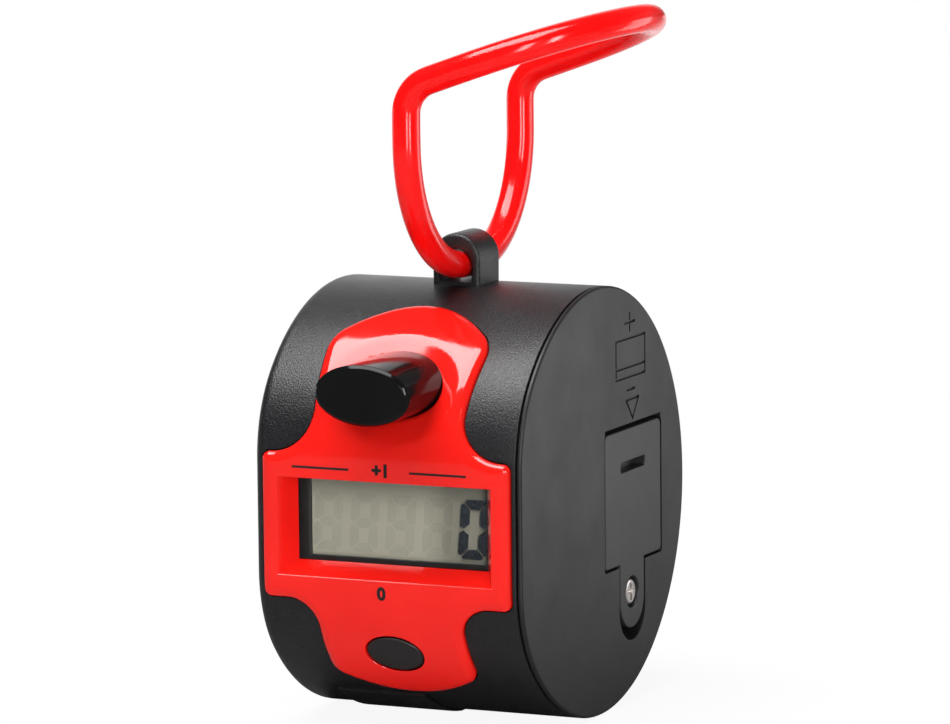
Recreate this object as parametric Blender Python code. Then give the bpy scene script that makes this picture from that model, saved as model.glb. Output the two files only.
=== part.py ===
"""Electronic tally counter: a drum-shaped hand counter with a folding wire finger ring.

The drum lies along X. Its closed left end stands on X = 0, and the battery cap closes the right end.
The front, with the display and both buttons, faces -Y. All lengths are in metres.
"""

import math
from bisect import bisect_right

import bmesh
import bpy
from mathutils import Matrix, Vector

MM = 0.001
SHARP_ANGLE = math.radians(35)  # sharper folds are shaded as corners
TOUCH = 1e-8  # points nearer than this are one

# Fits
FIT = 0.30 * MM  # free space between two pieces that slide, drop in or lie beside each other
SEAT = 0.15 * MM  # free space between flat faces that are stacked or glued

# Drum
DRUM_RADIUS = 21.5 * MM
DRUM_WIDTH = 28.85 * MM
FLAT_DEPTH = 2.1 * MM  # how far the front flat is cut back from the full round
BLEND_RADIUS = 13.0 * MM  # between the flat and the round
WALL = 1.8 * MM
END_ROUND = 1.3 * MM
SOLE_PAD_FROM = 5.1 * MM
SOLE_PAD_LENGTH = 9.6 * MM
SOLE_PAD_RISE = 0.3 * MM
SOLE_PAD_START, SOLE_PAD_END = math.radians(-58), math.radians(-106)
SOLE_PAD_SUNK = 0.4 * MM
SOLE_PAD_STEPS = 12
SOLE_PAD_FLAT = 0.15 * MM  # its flat underside, below the drum's lowest line

# Lug for the ring
LUG_WIDTH = 5.15 * MM
LUG_DEPTH = 5.1 * MM
LUG_ROOF = 1.55 * MM  # material above the slot
LUG_EDGE = 0.35 * MM
SLOT_FLOOR = 0.05 * MM  # skin left on the drum under the slot

# Ring, a closed loop of plastic-coated wire
WIRE_RADIUS = 1.4 * MM
PIVOT_RISE = 1.83 * MM  # the wire's centre above the drum's top
RING_STRAIGHT = 1.25 * MM  # half of the straight run in the lug
RING_HALF_WIDTH = 13.67 * MM
RING_BOWL = 12.76 * MM  # height of the rounded bottom
RING_LEG = 2.82 * MM  # straight part of a leg above the bowl
RING_BEND = 3.56 * MM
RING_RISE = math.radians(18.23)  # of the upper loop from level
RING_REACH = 4.00 * MM  # straight part of the upper loop
RING_NOSE = 13.63 * MM  # depth of the rounded end
RING_LEAN = math.radians(-1.09)
RING_COCK = math.radians(-2.05)

# Face plate
FACE_PROUD = 0.75 * MM
FACE_SUNK = 0.5 * MM  # how deep it sits in the drum
FACE_SIDE_GAP = 0.15 * MM
FACE_EDGE = 0.70 * MM  # rounding all along its edge
FACE_EDGE_STEPS = 3
PANEL_SIDE = 1.175 * MM  # drum left free beside the panel at either end
PANEL_TOP = 6.6 * MM
PANEL_BOTTOM = 8.0 * MM
PANEL_CORNER = 0.8 * MM
UPPER_LOBE_ANGLE = math.radians(65.5)  # of its crown, round the drum from the front
UPPER_LOBE_HALF_WIDTH = 8.5 * MM
UPPER_NECK_HALF_WIDTH = 8.0 * MM
UPPER_CROWN = 14.5 * MM
UPPER_CORNER = 2.0 * MM
UPPER_FILLET = 4.4 * MM
UPPER_FLARE = math.radians(5.3)
LOWER_LOBE_ANGLE = math.radians(54.2)
LOWER_LOBE_HALF_WIDTH = 7.75 * MM
LOWER_CROWN = 15.0 * MM
LOWER_CORNER = 1.5 * MM
LOWER_FILLET = 3.1 * MM

# Display window, a funnel in the face plate
WINDOW_SIDE = 1.75 * MM  # panel left beside the window
WINDOW_TOP = 4.15 * MM
WINDOW_BOTTOM = 5.6 * MM
WINDOW_DEPTH = 2.25 * MM
WINDOW_DRAFT = 1.3 * MM  # how far its sides and bottom slope in
WINDOW_TOP_DRAFT = 0.1 * MM
WINDOW_FRAME = 1.0 * MM  # wall round its inner end
LENS_THICKNESS = 0.8 * MM

# Display
LCD_FRAME_WALL = 0.7 * MM
LCD_FRAME_LIP = 0.5 * MM
LCD_MASK = 0.6 * MM  # how far the frame's lip covers the window's inner edge
GLASS_THICKNESS = 0.7 * MM
REFLECTOR_THICKNESS = 0.3 * MM
GLASS_BORDER = 0.8 * MM  # glass hidden behind the frame's lip
CONTACT_LEDGE = 1.6 * MM  # strip of front glass that the rear glass leaves free
CONNECTOR_WIDTH = 1.1 * MM
CONNECTOR_END = 1.9 * MM  # glass left free past either end of the connector

# Circuit board
BOARD_THICKNESS = 1.0 * MM
BOARD_DEPTH = 13.0 * MM  # of its front face behind the drum's front flat
BOARD_END_GAP = 5.65 * MM  # from its right edge to the battery cap's outer face
BOARD_CORNER = 1.0 * MM
RAIL_THICKNESS = 1.0 * MM
RAIL_DEPTH = 1.7 * MM  # how far a rail covers the board's edge
BLOB_RADIUS = 4.2 * MM
BLOB_HEIGHT = 1.3 * MM
CAPACITOR_LENGTH = 3.2 * MM
CAPACITOR_WIDTH = 1.6 * MM
CAPACITOR_HEIGHT = 1.2 * MM

# Count button
COUNT_ANGLE = math.radians(36.7)  # of its centre, round the drum from the front
COUNT_HALF_WIDTH = 5.05 * MM
COUNT_HALF_HEIGHT = 3.05 * MM
COUNT_PROJECTION = 5.45 * MM  # of its end past the front flat
COUNT_END_SLANT = math.radians(8)
COUNT_END_EDGE = 0.35 * MM
COUNT_TRAVEL = 1.2 * MM

# Reset button
RESET_ANGLE = math.radians(36.3)
RESET_HALF_WIDTH = 3.0 * MM
RESET_HALF_HEIGHT = 1.8 * MM
RESET_SUNK = 0.15 * MM  # below the face plate
RESET_EDGE = 0.2 * MM
RESET_TRAVEL = 0.7 * MM

# Shared by both buttons
BUTTON_GAP = 0.25 * MM
SLEEVE_WALL = 1.0 * MM
SLEEVE_DEPTH = 6.8 * MM  # of the guide sleeves' inner ends behind the drum's front flat
FLANGE_OVERHANG = 1.1 * MM
FLANGE_THICKNESS = 0.8 * MM
STEM_RADIUS = 1.5 * MM
DISH_HALF_WIDTH = 7.0 * MM
DISH_HALF_HEIGHT = 6.3 * MM
DISH_DEPTH = 0.45 * MM

# Switches
SWITCH_SIDE = 6.0 * MM
SWITCH_HEIGHT = 2.3 * MM
SWITCH_EDGE = 0.3 * MM
PLUNGER_RADIUS = 1.4 * MM
PLUNGER_PROUD = 1.4 * MM
PLUNGER_LENGTH = 2.2 * MM

# Battery cap
RIM_THICKNESS = 0.45 * MM
RIM_EDGE = 0.3 * MM
CAP_SEAM = 0.2 * MM
CAP_THICKNESS = 2.8 * MM
SKIRT_LENGTH = 2.55 * MM
SKIRT_WALL = 1.2 * MM

# Battery door
DOOR_CENTRE_Y = 8.3 * MM
DOOR_HALF_WIDTH = 7.15 * MM
DOOR_TOP = 6.4 * MM
DOOR_BOTTOM = 7.2 * MM
DOOR_CORNER = 0.8 * MM
DOOR_THICKNESS = 1.6 * MM
DOOR_GAP = 0.2 * MM
TONGUE_CENTRE_Y = 7.9 * MM
TONGUE_HALF_WIDTH = 3.1 * MM
TONGUE_TIP = 14.0 * MM
NAIL_NOTCH = 1.0 * MM  # crescent left free below the tongue
GRIP_SLOT_LENGTH = 6.2 * MM
GRIP_SLOT_HEIGHT = 1.0 * MM
GRIP_SLOT_DEPTH = 0.9 * MM
GRIP_SLOT_Z = 2.6 * MM
DOOR_RIB_THICKNESS = 0.8 * MM
DOOR_RIB_DEPTH = 1.6 * MM
DOOR_RIB_HEIGHT = 5.0 * MM

# Door screw
SCREW_Z = 10.35 * MM
SCREW_HEAD_RADIUS = 1.3 * MM
SCREW_HEAD_HEIGHT = 0.7 * MM
SCREW_HEAD_EDGE = 0.2 * MM
SCREW_HOLE_RADIUS = 1.6 * MM
SCREW_HOLE_DEPTH = 1.0 * MM
SHANK_RADIUS = 0.75 * MM
SHANK_LENGTH = 4.2 * MM
SHANK_GAP = 0.2 * MM
RECESS_LENGTH = 1.7 * MM
RECESS_WIDTH = 0.4 * MM
RECESS_DEPTH = 0.35 * MM
BOSS_WALL = 1.1 * MM
BOSS_FLOOR = 0.8 * MM

# Button cell and its compartment
CELL_RADIUS = 5.8 * MM
CELL_HEIGHT = 5.4 * MM
CELL_STEP_HEIGHT = 0.6 * MM
CELL_STEP_RADIUS = 4.9 * MM
CELL_EDGE = 0.3 * MM
CELL_CENTRE_Z = -0.4 * MM
CONTACT_SPACE = 1.9 * MM  # room for a contact above and below the cell
COMPARTMENT_WALL = 0.9 * MM
CONTACT_WIDTH = 4.0 * MM
CONTACT_THICKNESS = 0.35 * MM
CONTACT_FOOT = 1.6 * MM

# Round shapes
BLEND_STEPS = 7
ROUND_STEPS = 66
ARC_STEP = math.radians(9)

# Places that follow from the sizes above
CENTRE_X = DRUM_WIDTH / 2
FRONT_FLAT = DRUM_RADIUS - FLAT_DEPTH
PANEL_HALF_WIDTH = CENTRE_X - PANEL_SIDE
WINDOW_HALF_WIDTH = PANEL_HALF_WIDTH - WINDOW_SIDE
SLEEVE_END = FRONT_FLAT - SLEEVE_DEPTH  # distance from the drum's axis
BOARD_FRONT = FRONT_FLAT - BOARD_DEPTH
CAP_SPLIT = DRUM_WIDTH - RIM_THICKNESS
SHELL_END = CAP_SPLIT - CAP_SEAM
CAP_INSIDE = DRUM_WIDTH - CAP_THICKNESS
PIVOT_Z = DRUM_RADIUS + PIVOT_RISE
SLOT_RADIUS = WIRE_RADIUS + FIT
LUG_TOP = PIVOT_Z + SLOT_RADIUS + LUG_ROOF
FACE_RADIUS = DRUM_RADIUS + FACE_PROUD
COUNT_Z = FACE_RADIUS * math.sin(COUNT_ANGLE)
RESET_Z = -FACE_RADIUS * math.sin(RESET_ANGLE)
WINDOW_INNER_HALF = WINDOW_HALF_WIDTH - WINDOW_DRAFT
WINDOW_INNER_TOP = WINDOW_TOP - WINDOW_TOP_DRAFT
WINDOW_INNER_BOTTOM = -WINDOW_BOTTOM + WINDOW_DRAFT
WINDOW_END_Y = -(FRONT_FLAT + FACE_PROUD) + WINDOW_DEPTH
BOARD_Y = -BOARD_FRONT
BOARD_REAR_Y = BOARD_Y + BOARD_THICKNESS
BOARD_RIGHT = DRUM_WIDTH - BOARD_END_GAP
SWITCH_FRONT_Y = BOARD_Y - SEAT - SWITCH_HEIGHT
DOOR_INSIDE = DRUM_WIDTH - DOOR_THICKNESS
CELL_X = DOOR_INSIDE - FIT - CELL_RADIUS
CELL_TOP = CELL_CENTRE_Z + CELL_HEIGHT / 2
CELL_FLOOR = CELL_CENTRE_Z - CELL_HEIGHT / 2


# Points and outlines


def arc(centre, radius, start, end):
    """Points of an arc from one angle to the other, both ends included."""
    steps = max(1, math.ceil(abs(end - start) / ARC_STEP - 1e-6))
    turns = (start + (end - start) * i / steps for i in range(steps + 1))
    return [(centre[0] + radius * math.cos(a), centre[1] + radius * math.sin(a)) for a in turns]


def ellipse(centre, half_width, half_height, steps=40):
    turns = (2 * math.pi * i / steps for i in range(steps))
    return [(centre[0] + half_width * math.cos(a), centre[1] + half_height * math.sin(a)) for a in turns]


def rectangle(left, right, bottom, top):
    return [(left, bottom), (right, bottom), (right, top), (left, top)]


def rounded_rectangle(left, right, bottom, top, corner):
    return (
        arc((right - corner, bottom + corner), corner, -math.pi / 2, 0)
        + arc((right - corner, top - corner), corner, 0, math.pi / 2)
        + arc((left + corner, top - corner), corner, math.pi / 2, math.pi)
        + arc((left + corner, bottom + corner), corner, math.pi, 1.5 * math.pi)
    )


def drum_section(grow=0.0):
    """The drum's D-shaped section as (y, z) points, offset outwards by grow."""
    radius, flat, blend = DRUM_RADIUS + grow, FRONT_FLAT + grow, BLEND_RADIUS + grow
    centre_y = flat - blend
    centre_z = math.sqrt((radius - blend) ** 2 - centre_y**2)
    turn = math.atan2(centre_z, centre_y)
    corner = []
    for i in range(BLEND_STEPS + 1):
        a = turn * i / BLEND_STEPS
        corner.append((-centre_y - blend * math.cos(a), centre_z + blend * math.sin(a)))
    back = []
    for i in range(1, ROUND_STEPS):
        a = turn + (2 * math.pi - 2 * turn) * i / ROUND_STEPS
        back.append((-radius * math.cos(a), radius * math.sin(a)))
    return corner + back + [(y, -z) for y, z in reversed(corner)]


def face_outline():
    """The face plate's outline seen from the front, as (x, z) points."""
    top = FACE_RADIUS * math.sin(UPPER_LOBE_ANGLE)
    crown_z = top - UPPER_CROWN
    corner_x = UPPER_LOBE_HALF_WIDTH - UPPER_CORNER
    corner_z = crown_z + math.sqrt((UPPER_CROWN - UPPER_CORNER) ** 2 - corner_x**2)
    crown_turn = math.atan2(corner_z - crown_z, corner_x)
    foot = -FACE_RADIUS * math.sin(LOWER_LOBE_ANGLE)
    sole_z = foot + LOWER_CROWN
    toe_x = LOWER_LOBE_HALF_WIDTH - LOWER_CORNER
    toe_z = sole_z - math.sqrt((LOWER_CROWN - LOWER_CORNER) ** 2 - toe_x**2)
    sole_turn = math.atan2(toe_z - sole_z, toe_x)
    panel_x = PANEL_HALF_WIDTH - PANEL_CORNER
    quarter = math.pi / 2
    half = (
        arc((0, sole_z), LOWER_CROWN, -quarter, sole_turn)
        + arc((toe_x, toe_z), LOWER_CORNER, sole_turn, 0)[1:]
        + arc(
            (LOWER_LOBE_HALF_WIDTH + LOWER_FILLET, -PANEL_BOTTOM - LOWER_FILLET),
            LOWER_FILLET,
            math.pi,
            quarter,
        )
        + arc((panel_x, PANEL_CORNER - PANEL_BOTTOM), PANEL_CORNER, -quarter, 0)
        + arc((panel_x, PANEL_TOP - PANEL_CORNER), PANEL_CORNER, 0, quarter)
        + arc(
            (UPPER_NECK_HALF_WIDTH + UPPER_FILLET, PANEL_TOP + UPPER_FILLET),
            UPPER_FILLET,
            -quarter,
            -math.pi - UPPER_FLARE,
        )
        + arc((corner_x, corner_z), UPPER_CORNER, -UPPER_FLARE, crown_turn)
        + arc((0, crown_z), UPPER_CROWN, crown_turn, quarter)[1:]
    )
    left = [(-x, z) for x, z in reversed(half[1:-1])]
    return [(CENTRE_X + x, z) for x, z in half + left]


def offset_outline(outline, grow):
    """The outline moved outwards by grow, its points in step with the old ones. It runs anticlockwise."""
    moved = []
    for i, point in enumerate(outline):
        here = Vector(point)
        into = (here - Vector(outline[i - 1])).normalized()
        out = (Vector(outline[(i + 1) % len(outline)]) - here).normalized()
        across = Vector((into.y + out.y, -into.x - out.x))
        moved.append(tuple(here + across * (2 * grow / across.length_squared)))
    return moved


def face_marks():
    """The corners of the face plate's outer section from the front up to the top, and how far each is round it."""
    corners = [Vector(point) for point in drum_section(FACE_PROUD) if point[0] < 0 < point[1]]
    lengths = [corners[0].y]
    for before, after in zip(corners, corners[1:]):
        lengths.append(lengths[-1] + (after - before).length)
    return corners, lengths


def unroll(outline):
    """Turns (x, z) points on the face plate's outer surface into (x, distance round it from the middle height)."""
    corners, lengths = face_marks()
    heights = [0.0] + [corner.y for corner in corners]
    lengths = [0.0] + lengths
    flat = []
    for x, z in outline:
        i = bisect_right(heights, abs(z))
        share = (abs(z) - heights[i - 1]) / (heights[i] - heights[i - 1])
        flat.append((x, math.copysign(lengths[i - 1] + share * (lengths[i] - lengths[i - 1]), z)))
    return flat


def wrapped_plate(name, outline, rings):
    """A plate bent round the drum's front, its edge square to the surface.

    The outline is unrolled. Each ring is (how far the outline grows, height above the drum's surface), back first.
    """
    bm = bmesh.new()
    loops = [[bm.verts.new((x, -lift, s)) for x, s in offset_outline(outline, grow)] for grow, lift in rings]
    for low, high in zip(loops, loops[1:]):
        for i in range(len(low)):
            k = (i + 1) % len(low)
            bm.faces.new((low[i], low[k], high[k], high[i]))
    bm.faces.new(loops[0])
    bm.faces.new(loops[-1])
    lengths = face_marks()[1]
    for s in lengths + [-length for length in lengths]:
        everything = bm.verts[:] + bm.edges[:] + bm.faces[:]
        bmesh.ops.bisect_plane(bm, geom=everything, dist=TOUCH, plane_co=(0, 0, s), plane_no=(0, 0, 1))
    for vert in bm.verts:
        x, y, s = vert.co
        section = drum_section(-y)
        i = bisect_right(lengths, abs(s) + TOUCH)
        if i == 0:
            vert.co = (x, section[0][0], s)
            continue
        share = (abs(s) - lengths[i - 1]) / (lengths[i] - lengths[i - 1])
        point = Vector(section[i - 1]).lerp(Vector(section[i]), share)
        vert.co = (x, point.x, math.copysign(point.y, s))
    bmesh.ops.triangulate(bm, faces=bm.faces)
    return add_object(name, bm)


def door_outline(grow=0.0, tip_drop=0.0):
    """The battery door with its tongue seen from the right, as (y, z) points."""
    left = DOOR_CENTRE_Y - DOOR_HALF_WIDTH - grow
    right = DOOR_CENTRE_Y + DOOR_HALF_WIDTH + grow
    top, bottom = DOOR_TOP + grow, -DOOR_BOTTOM - grow
    corner = DOOR_CORNER
    half_tongue = TONGUE_HALF_WIDTH + grow
    tip_z = -TONGUE_TIP + TONGUE_HALF_WIDTH - tip_drop
    return (
        arc((TONGUE_CENTRE_Y, tip_z), half_tongue, math.pi, 2 * math.pi)
        + [(TONGUE_CENTRE_Y + half_tongue, bottom), (right, bottom)]
        + arc((right - corner, top - corner), corner, 0, math.pi / 2)
        + arc((left + corner, top - corner), corner, math.pi / 2, math.pi)
        + [(left, bottom), (TONGUE_CENTRE_Y - half_tongue, bottom)]
    )


def ring_points():
    """The centre line of the ring's wire round the pivot, upright, before it is cocked and leant."""
    half = [(0.0, RING_STRAIGHT / 2, 0.0), (0.0, RING_STRAIGHT, 0.0)]
    bowl_width = RING_HALF_WIDTH - RING_STRAIGHT
    for i in range(1, 13):
        a = math.pi / 2 * i / 12
        half.append((0.0, RING_STRAIGHT + bowl_width * math.sin(a), RING_BOWL * (1 - math.cos(a))))
    bend_z = RING_BOWL + RING_LEG
    turn = math.pi / 2 - RING_RISE
    for i in range(7):
        a = turn * i / 6
        x, z = RING_BEND * (1 - math.cos(a)), bend_z + RING_BEND * math.sin(a)
        half.append((x, RING_HALF_WIDTH, z))
    along = Vector((math.cos(RING_RISE), 0, math.sin(RING_RISE)))
    start = Vector((half[-1][0], 0, half[-1][2]))
    for i in range(1, 4):
        point = start + along * (RING_REACH * i / 3)
        half.append((point.x, RING_HALF_WIDTH, point.z))
    nose = start + along * RING_REACH
    for i in range(1, 13):
        a = math.pi / 2 * i / 12
        point = nose + along * (RING_NOSE * math.sin(a))
        half.append((point.x, RING_HALF_WIDTH * math.cos(a), point.z))
    front = [Vector((x, -y, z)) for x, y, z in half]
    back = [Vector(point) for point in reversed(half[:-1])]
    return front + back


# Solids


def clear_scene():
    for obj in list(bpy.data.objects):
        bpy.data.objects.remove(obj, do_unlink=True)


def add_object(name, bm):
    """Turns a bmesh into an object with its origin at the world's."""
    bmesh.ops.recalc_face_normals(bm, faces=bm.faces)
    mesh = bpy.data.meshes.new(name)
    bm.to_mesh(mesh)
    bm.free()
    obj = bpy.data.objects.new(name, mesh)
    bpy.context.scene.collection.objects.link(obj)
    return obj


def prism(name, outline, axis, low, high):
    """A straight prism along X or Y. The outline is in (y, z) for axis X, and in (x, z) for axis Y."""
    place = (lambda a, b, d: (d, a, b)) if axis == "X" else (lambda a, b, d: (a, d, b))
    bm = bmesh.new()
    near = [bm.verts.new(place(a, b, low)) for a, b in outline]
    face = bm.faces.new(near)
    grown = bmesh.ops.extrude_face_region(bm, geom=[face])["geom"]
    move = Vector((high - low, 0, 0)) if axis == "X" else Vector((0, high - low, 0))
    far = [item for item in grown if isinstance(item, bmesh.types.BMVert)]
    bmesh.ops.translate(bm, verts=far, vec=move)
    return add_object(name, bm)


def box(name, low, high):
    outline = rectangle(low[1], high[1], low[2], high[2])
    return prism(name, outline, "X", low[0], high[0])


def cylinder(name, axis, centre, radius, low, high, steps=32):
    """A cylinder along X or Y. The centre is (y, z) for axis X, and (x, z) for axis Y."""
    return prism(name, ellipse(centre, radius, radius, steps), axis, low, high)


def combine(obj, other, operation):
    """Joins other to obj, cuts it from obj, or keeps what both share, and removes other."""
    modifier = obj.modifiers.new(operation.lower(), "BOOLEAN")
    modifier.operation = operation
    modifier.solver = "EXACT"
    modifier.object = other
    graph = bpy.context.evaluated_depsgraph_get()
    result = bpy.data.meshes.new_from_object(obj.evaluated_get(graph))
    obj.modifiers.clear()
    obj.data = result
    bpy.data.objects.remove(other, do_unlink=True)
    return obj


def join(obj, *others):
    for other in others:
        combine(obj, other, "UNION")
    return obj


def cut(obj, *others):
    for other in others:
        combine(obj, other, "DIFFERENCE")
    return obj


def keep(obj, other):
    return combine(obj, other, "INTERSECT")


def round_edges(obj, width, chosen, segments=2):
    """Bevels the edges for which chosen(first, second) is true, both corners given as world points."""
    bm = bmesh.new()
    bm.from_mesh(obj.data)
    edges = [edge for edge in bm.edges if chosen(edge.verts[0].co, edge.verts[1].co)]
    bmesh.ops.bevel(
        bm,
        geom=edges,
        offset=width,
        segments=segments,
        profile=0.5,
        affect="EDGES",
        clamp_overlap=True,
    )
    bm.to_mesh(obj.data)
    bm.free()
    return obj


def at_plane(axis, value):
    """A test for edges that lie in one plane across an axis."""
    index = "XYZ".index(axis)
    return lambda a, b: abs(a[index] - value) < 1e-6 and abs(b[index] - value) < 1e-6


def drum_prism(name, grow, low, high):
    return prism(name, drum_section(grow), "X", low, high)


def sheet_strip(name, line, thickness, low, high):
    """A bent metal strip: the middle line in (y, z), given a thickness and a width along X."""
    sides = ([], [])
    for i, point in enumerate(line):
        before = Vector(line[max(i - 1, 0)])
        after = Vector(line[min(i + 1, len(line) - 1)])
        here = Vector(point)
        into = (here - before).normalized() if i else (after - here).normalized()
        out = (after - here).normalized() if i < len(line) - 1 else into
        normal = Vector((-into.y - out.y, into.x + out.x)).normalized()
        reach = thickness / 2 / max(normal.dot(Vector((-into.y, into.x))), 0.3)
        sides[0].append(tuple(here + normal * reach))
        sides[1].append(tuple(here - normal * reach))
    return prism(name, sides[0] + sides[1][::-1], "X", low, high)


# Finishes


def finish(name, color, roughness, metallic=0.0, transmission=0.0):
    material = bpy.data.materials.new(name)
    material.use_nodes = True
    shader = material.node_tree.nodes["Principled BSDF"]
    shader.inputs["Base Color"].default_value = (*color, 1.0)
    shader.inputs["Roughness"].default_value = roughness
    shader.inputs["Metallic"].default_value = metallic
    shader.inputs["Transmission Weight"].default_value = transmission
    material.diffuse_color = (*color, 1.0)
    return material


def dress(obj, material):
    """Gives an object its finish and smooth shading with sharp corners."""
    obj.data.materials.clear()
    obj.data.materials.append(material)
    if obj.type == "MESH":
        obj.data.shade_smooth()
        obj.data.set_sharp_from_angle(angle=SHARP_ANGLE)
    return obj


def move_origin(obj, point):
    """Puts the object's origin at a world point and leaves its shape where it is."""
    point = Vector(point)
    obj.data.transform(Matrix.Translation(-point))
    obj.location = point
    return obj


def carry(child, parent):
    """Parents a piece that rides on another and keeps its place."""
    child.location = child.location - parent.location
    child.parent = parent


# Drum with its lug


def add_lug(shell):
    arch_z = LUG_TOP - LUG_WIDTH / 2
    outline = [(CENTRE_X - LUG_WIDTH / 2, DRUM_RADIUS - WALL / 2), (CENTRE_X + LUG_WIDTH / 2, DRUM_RADIUS - WALL / 2)]
    outline += arc((CENTRE_X, arch_z), LUG_WIDTH / 2, 0, math.pi)
    lug = prism("lug", outline, "Y", -LUG_DEPTH / 2, LUG_DEPTH / 2)
    for y in (-LUG_DEPTH / 2, LUG_DEPTH / 2):
        round_edges(lug, LUG_EDGE, at_plane("Y", y))
    slot = [(CENTRE_X - SLOT_RADIUS, DRUM_RADIUS + SLOT_FLOOR), (CENTRE_X + SLOT_RADIUS, DRUM_RADIUS + SLOT_FLOOR)]
    slot += arc((CENTRE_X, PIVOT_Z), SLOT_RADIUS, 0, math.pi)
    join(shell, lug)
    cut(shell, prism("slot", slot, "Y", -LUG_DEPTH, LUG_DEPTH))


def sole_prism(name, inner, outer, grow):
    """A block along the drum's underside between two radii, its sides moved out by grow."""
    start = SOLE_PAD_START + grow / DRUM_RADIUS
    end = SOLE_PAD_END - grow / DRUM_RADIUS
    outline = []
    for radius, first, last in ((outer, start, end), (inner, end, start)):
        for i in range(SOLE_PAD_STEPS + 1):
            a = first + (last - first) * i / SOLE_PAD_STEPS
            outline.append((-radius * math.cos(a), radius * math.sin(a)))
    return prism(name, outline, "X", SOLE_PAD_FROM - grow, SOLE_PAD_FROM + SOLE_PAD_LENGTH + grow)


def add_sole_recess(shell):
    """The shallow recess that the sole pad is glued into."""
    floor = DRUM_RADIUS - SOLE_PAD_SUNK - SEAT
    cut(shell, sole_prism("recess", floor, DRUM_RADIUS + WALL, FACE_SIDE_GAP))


def make_sole_pad(material):
    """The pad on the underside, flat where the counter stands on it."""
    pad = sole_prism("sole_pad", DRUM_RADIUS - SOLE_PAD_SUNK, DRUM_RADIUS + SOLE_PAD_RISE, 0)
    sole_z = -DRUM_RADIUS - SOLE_PAD_FLAT
    cut(pad, box("below", (0, -DRUM_RADIUS, sole_z - WALL), (DRUM_WIDTH, DRUM_RADIUS, sole_z)))
    return dress(pad, material)


def add_sleeve(shell, centre_z, half_width, half_height):
    """A guide that a button slides in, grown inwards from the drum's wall."""
    spread = BUTTON_GAP + SLEEVE_WALL
    outline = ellipse((CENTRE_X, centre_z), half_width + spread, half_height + spread)
    sleeve = prism("sleeve", outline, "Y", -DRUM_RADIUS, -SLEEVE_END)
    keep(sleeve, drum_prism("inside", -FACE_SUNK - WALL / 2, 0, DRUM_WIDTH))
    join(shell, sleeve)
    bore = ellipse((CENTRE_X, centre_z), half_width + BUTTON_GAP, half_height + BUTTON_GAP)
    cut(shell, prism("bore", bore, "Y", -DRUM_RADIUS - WALL, -SLEEVE_END + WALL))


def board_half_height():
    """The board's edges stand a fit away from the drum's inner wall at its front face."""
    return math.sqrt((DRUM_RADIUS - WALL - FIT) ** 2 - BOARD_FRONT**2)


def add_rails(shell):
    """Two pairs of ribs that hold the circuit board's upper and lower edges."""
    top = board_half_height()
    for side in (-1, 1):
        for near in (BOARD_Y - FIT - RAIL_THICKNESS, BOARD_REAR_Y + FIT):
            low, high = sorted((side * (top - RAIL_DEPTH), side * (DRUM_RADIUS - WALL / 2)))
            rail = box("rail", (WALL / 2, near, low), (BOARD_RIGHT, near + RAIL_THICKNESS, high))
            keep(rail, drum_prism("inside", -WALL / 2, 0, DRUM_WIDTH))
            join(shell, rail)


def make_shell(material):
    shell = drum_prism("housing_shell", 0, 0, SHELL_END)
    round_edges(shell, END_ROUND, at_plane("X", 0), segments=5)
    cut(shell, drum_prism("cavity", -WALL, WALL, DRUM_WIDTH))
    add_sole_recess(shell)
    add_lug(shell)
    add_sleeve(shell, COUNT_Z, COUNT_HALF_WIDTH, COUNT_HALF_HEIGHT)
    add_sleeve(shell, RESET_Z, RESET_HALF_WIDTH, RESET_HALF_HEIGHT)
    add_rails(shell)
    rings = [(FACE_SIDE_GAP, -FACE_SUNK - SEAT), (FACE_SIDE_GAP, WALL)]
    cut(shell, wrapped_plate("pocket", unroll(face_outline()), rings))
    spread = WINDOW_FRAME + FIT
    window = box(
        "window",
        (CENTRE_X - WINDOW_INNER_HALF - spread, -2 * DRUM_RADIUS, WINDOW_INNER_BOTTOM - spread),
        (CENTRE_X + WINDOW_INNER_HALF + spread, -FRONT_FLAT + 2 * WALL, WINDOW_INNER_TOP + spread),
    )
    cut(shell, window)
    return dress(shell, material)


# Face plate and window


def window_funnel():
    """The tapered opening of the window, running past both faces of the plate."""
    outer_y = -(FRONT_FLAT + FACE_PROUD)
    bm = bmesh.new()
    loops = []
    for extra in (-1.0, 2.0):
        y = outer_y + WINDOW_DEPTH * extra
        side = WINDOW_HALF_WIDTH - WINDOW_DRAFT * extra
        bottom = -WINDOW_BOTTOM + WINDOW_DRAFT * extra
        top = WINDOW_TOP - WINDOW_TOP_DRAFT * extra
        corners = rectangle(CENTRE_X - side, CENTRE_X + side, bottom, top)
        loops.append([bm.verts.new((x, y, z)) for x, z in corners])
    for i in range(4):
        k = (i + 1) % 4
        bm.faces.new((loops[0][i], loops[0][k], loops[1][k], loops[1][i]))
    bm.faces.new(loops[0])
    bm.faces.new(loops[1])
    return add_object("funnel", bm)


def button_dish():
    """A shallow dish pressed into the face plate round the count button, square to its surface."""
    bm = bmesh.new()
    bmesh.ops.create_uvsphere(bm, u_segments=40, v_segments=16, radius=1.0)
    sphere_radius = 4 * DISH_DEPTH
    lift = sphere_radius - DISH_DEPTH
    spread = math.sqrt(sphere_radius**2 - lift**2) / sphere_radius
    size = Matrix.Diagonal((DISH_HALF_WIDTH / spread, DISH_HALF_HEIGHT / spread, sphere_radius, 1.0))
    outward = Vector((0, -math.cos(COUNT_ANGLE), math.sin(COUNT_ANGLE)))
    turn = outward.to_track_quat("Z", "Y").to_matrix().to_4x4()
    place = Matrix.Translation(Vector((CENTRE_X, 0, 0)) + outward * (FACE_RADIUS + lift))
    bmesh.ops.transform(bm, matrix=place @ turn @ size, verts=bm.verts)
    return add_object("dish", bm)


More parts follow.
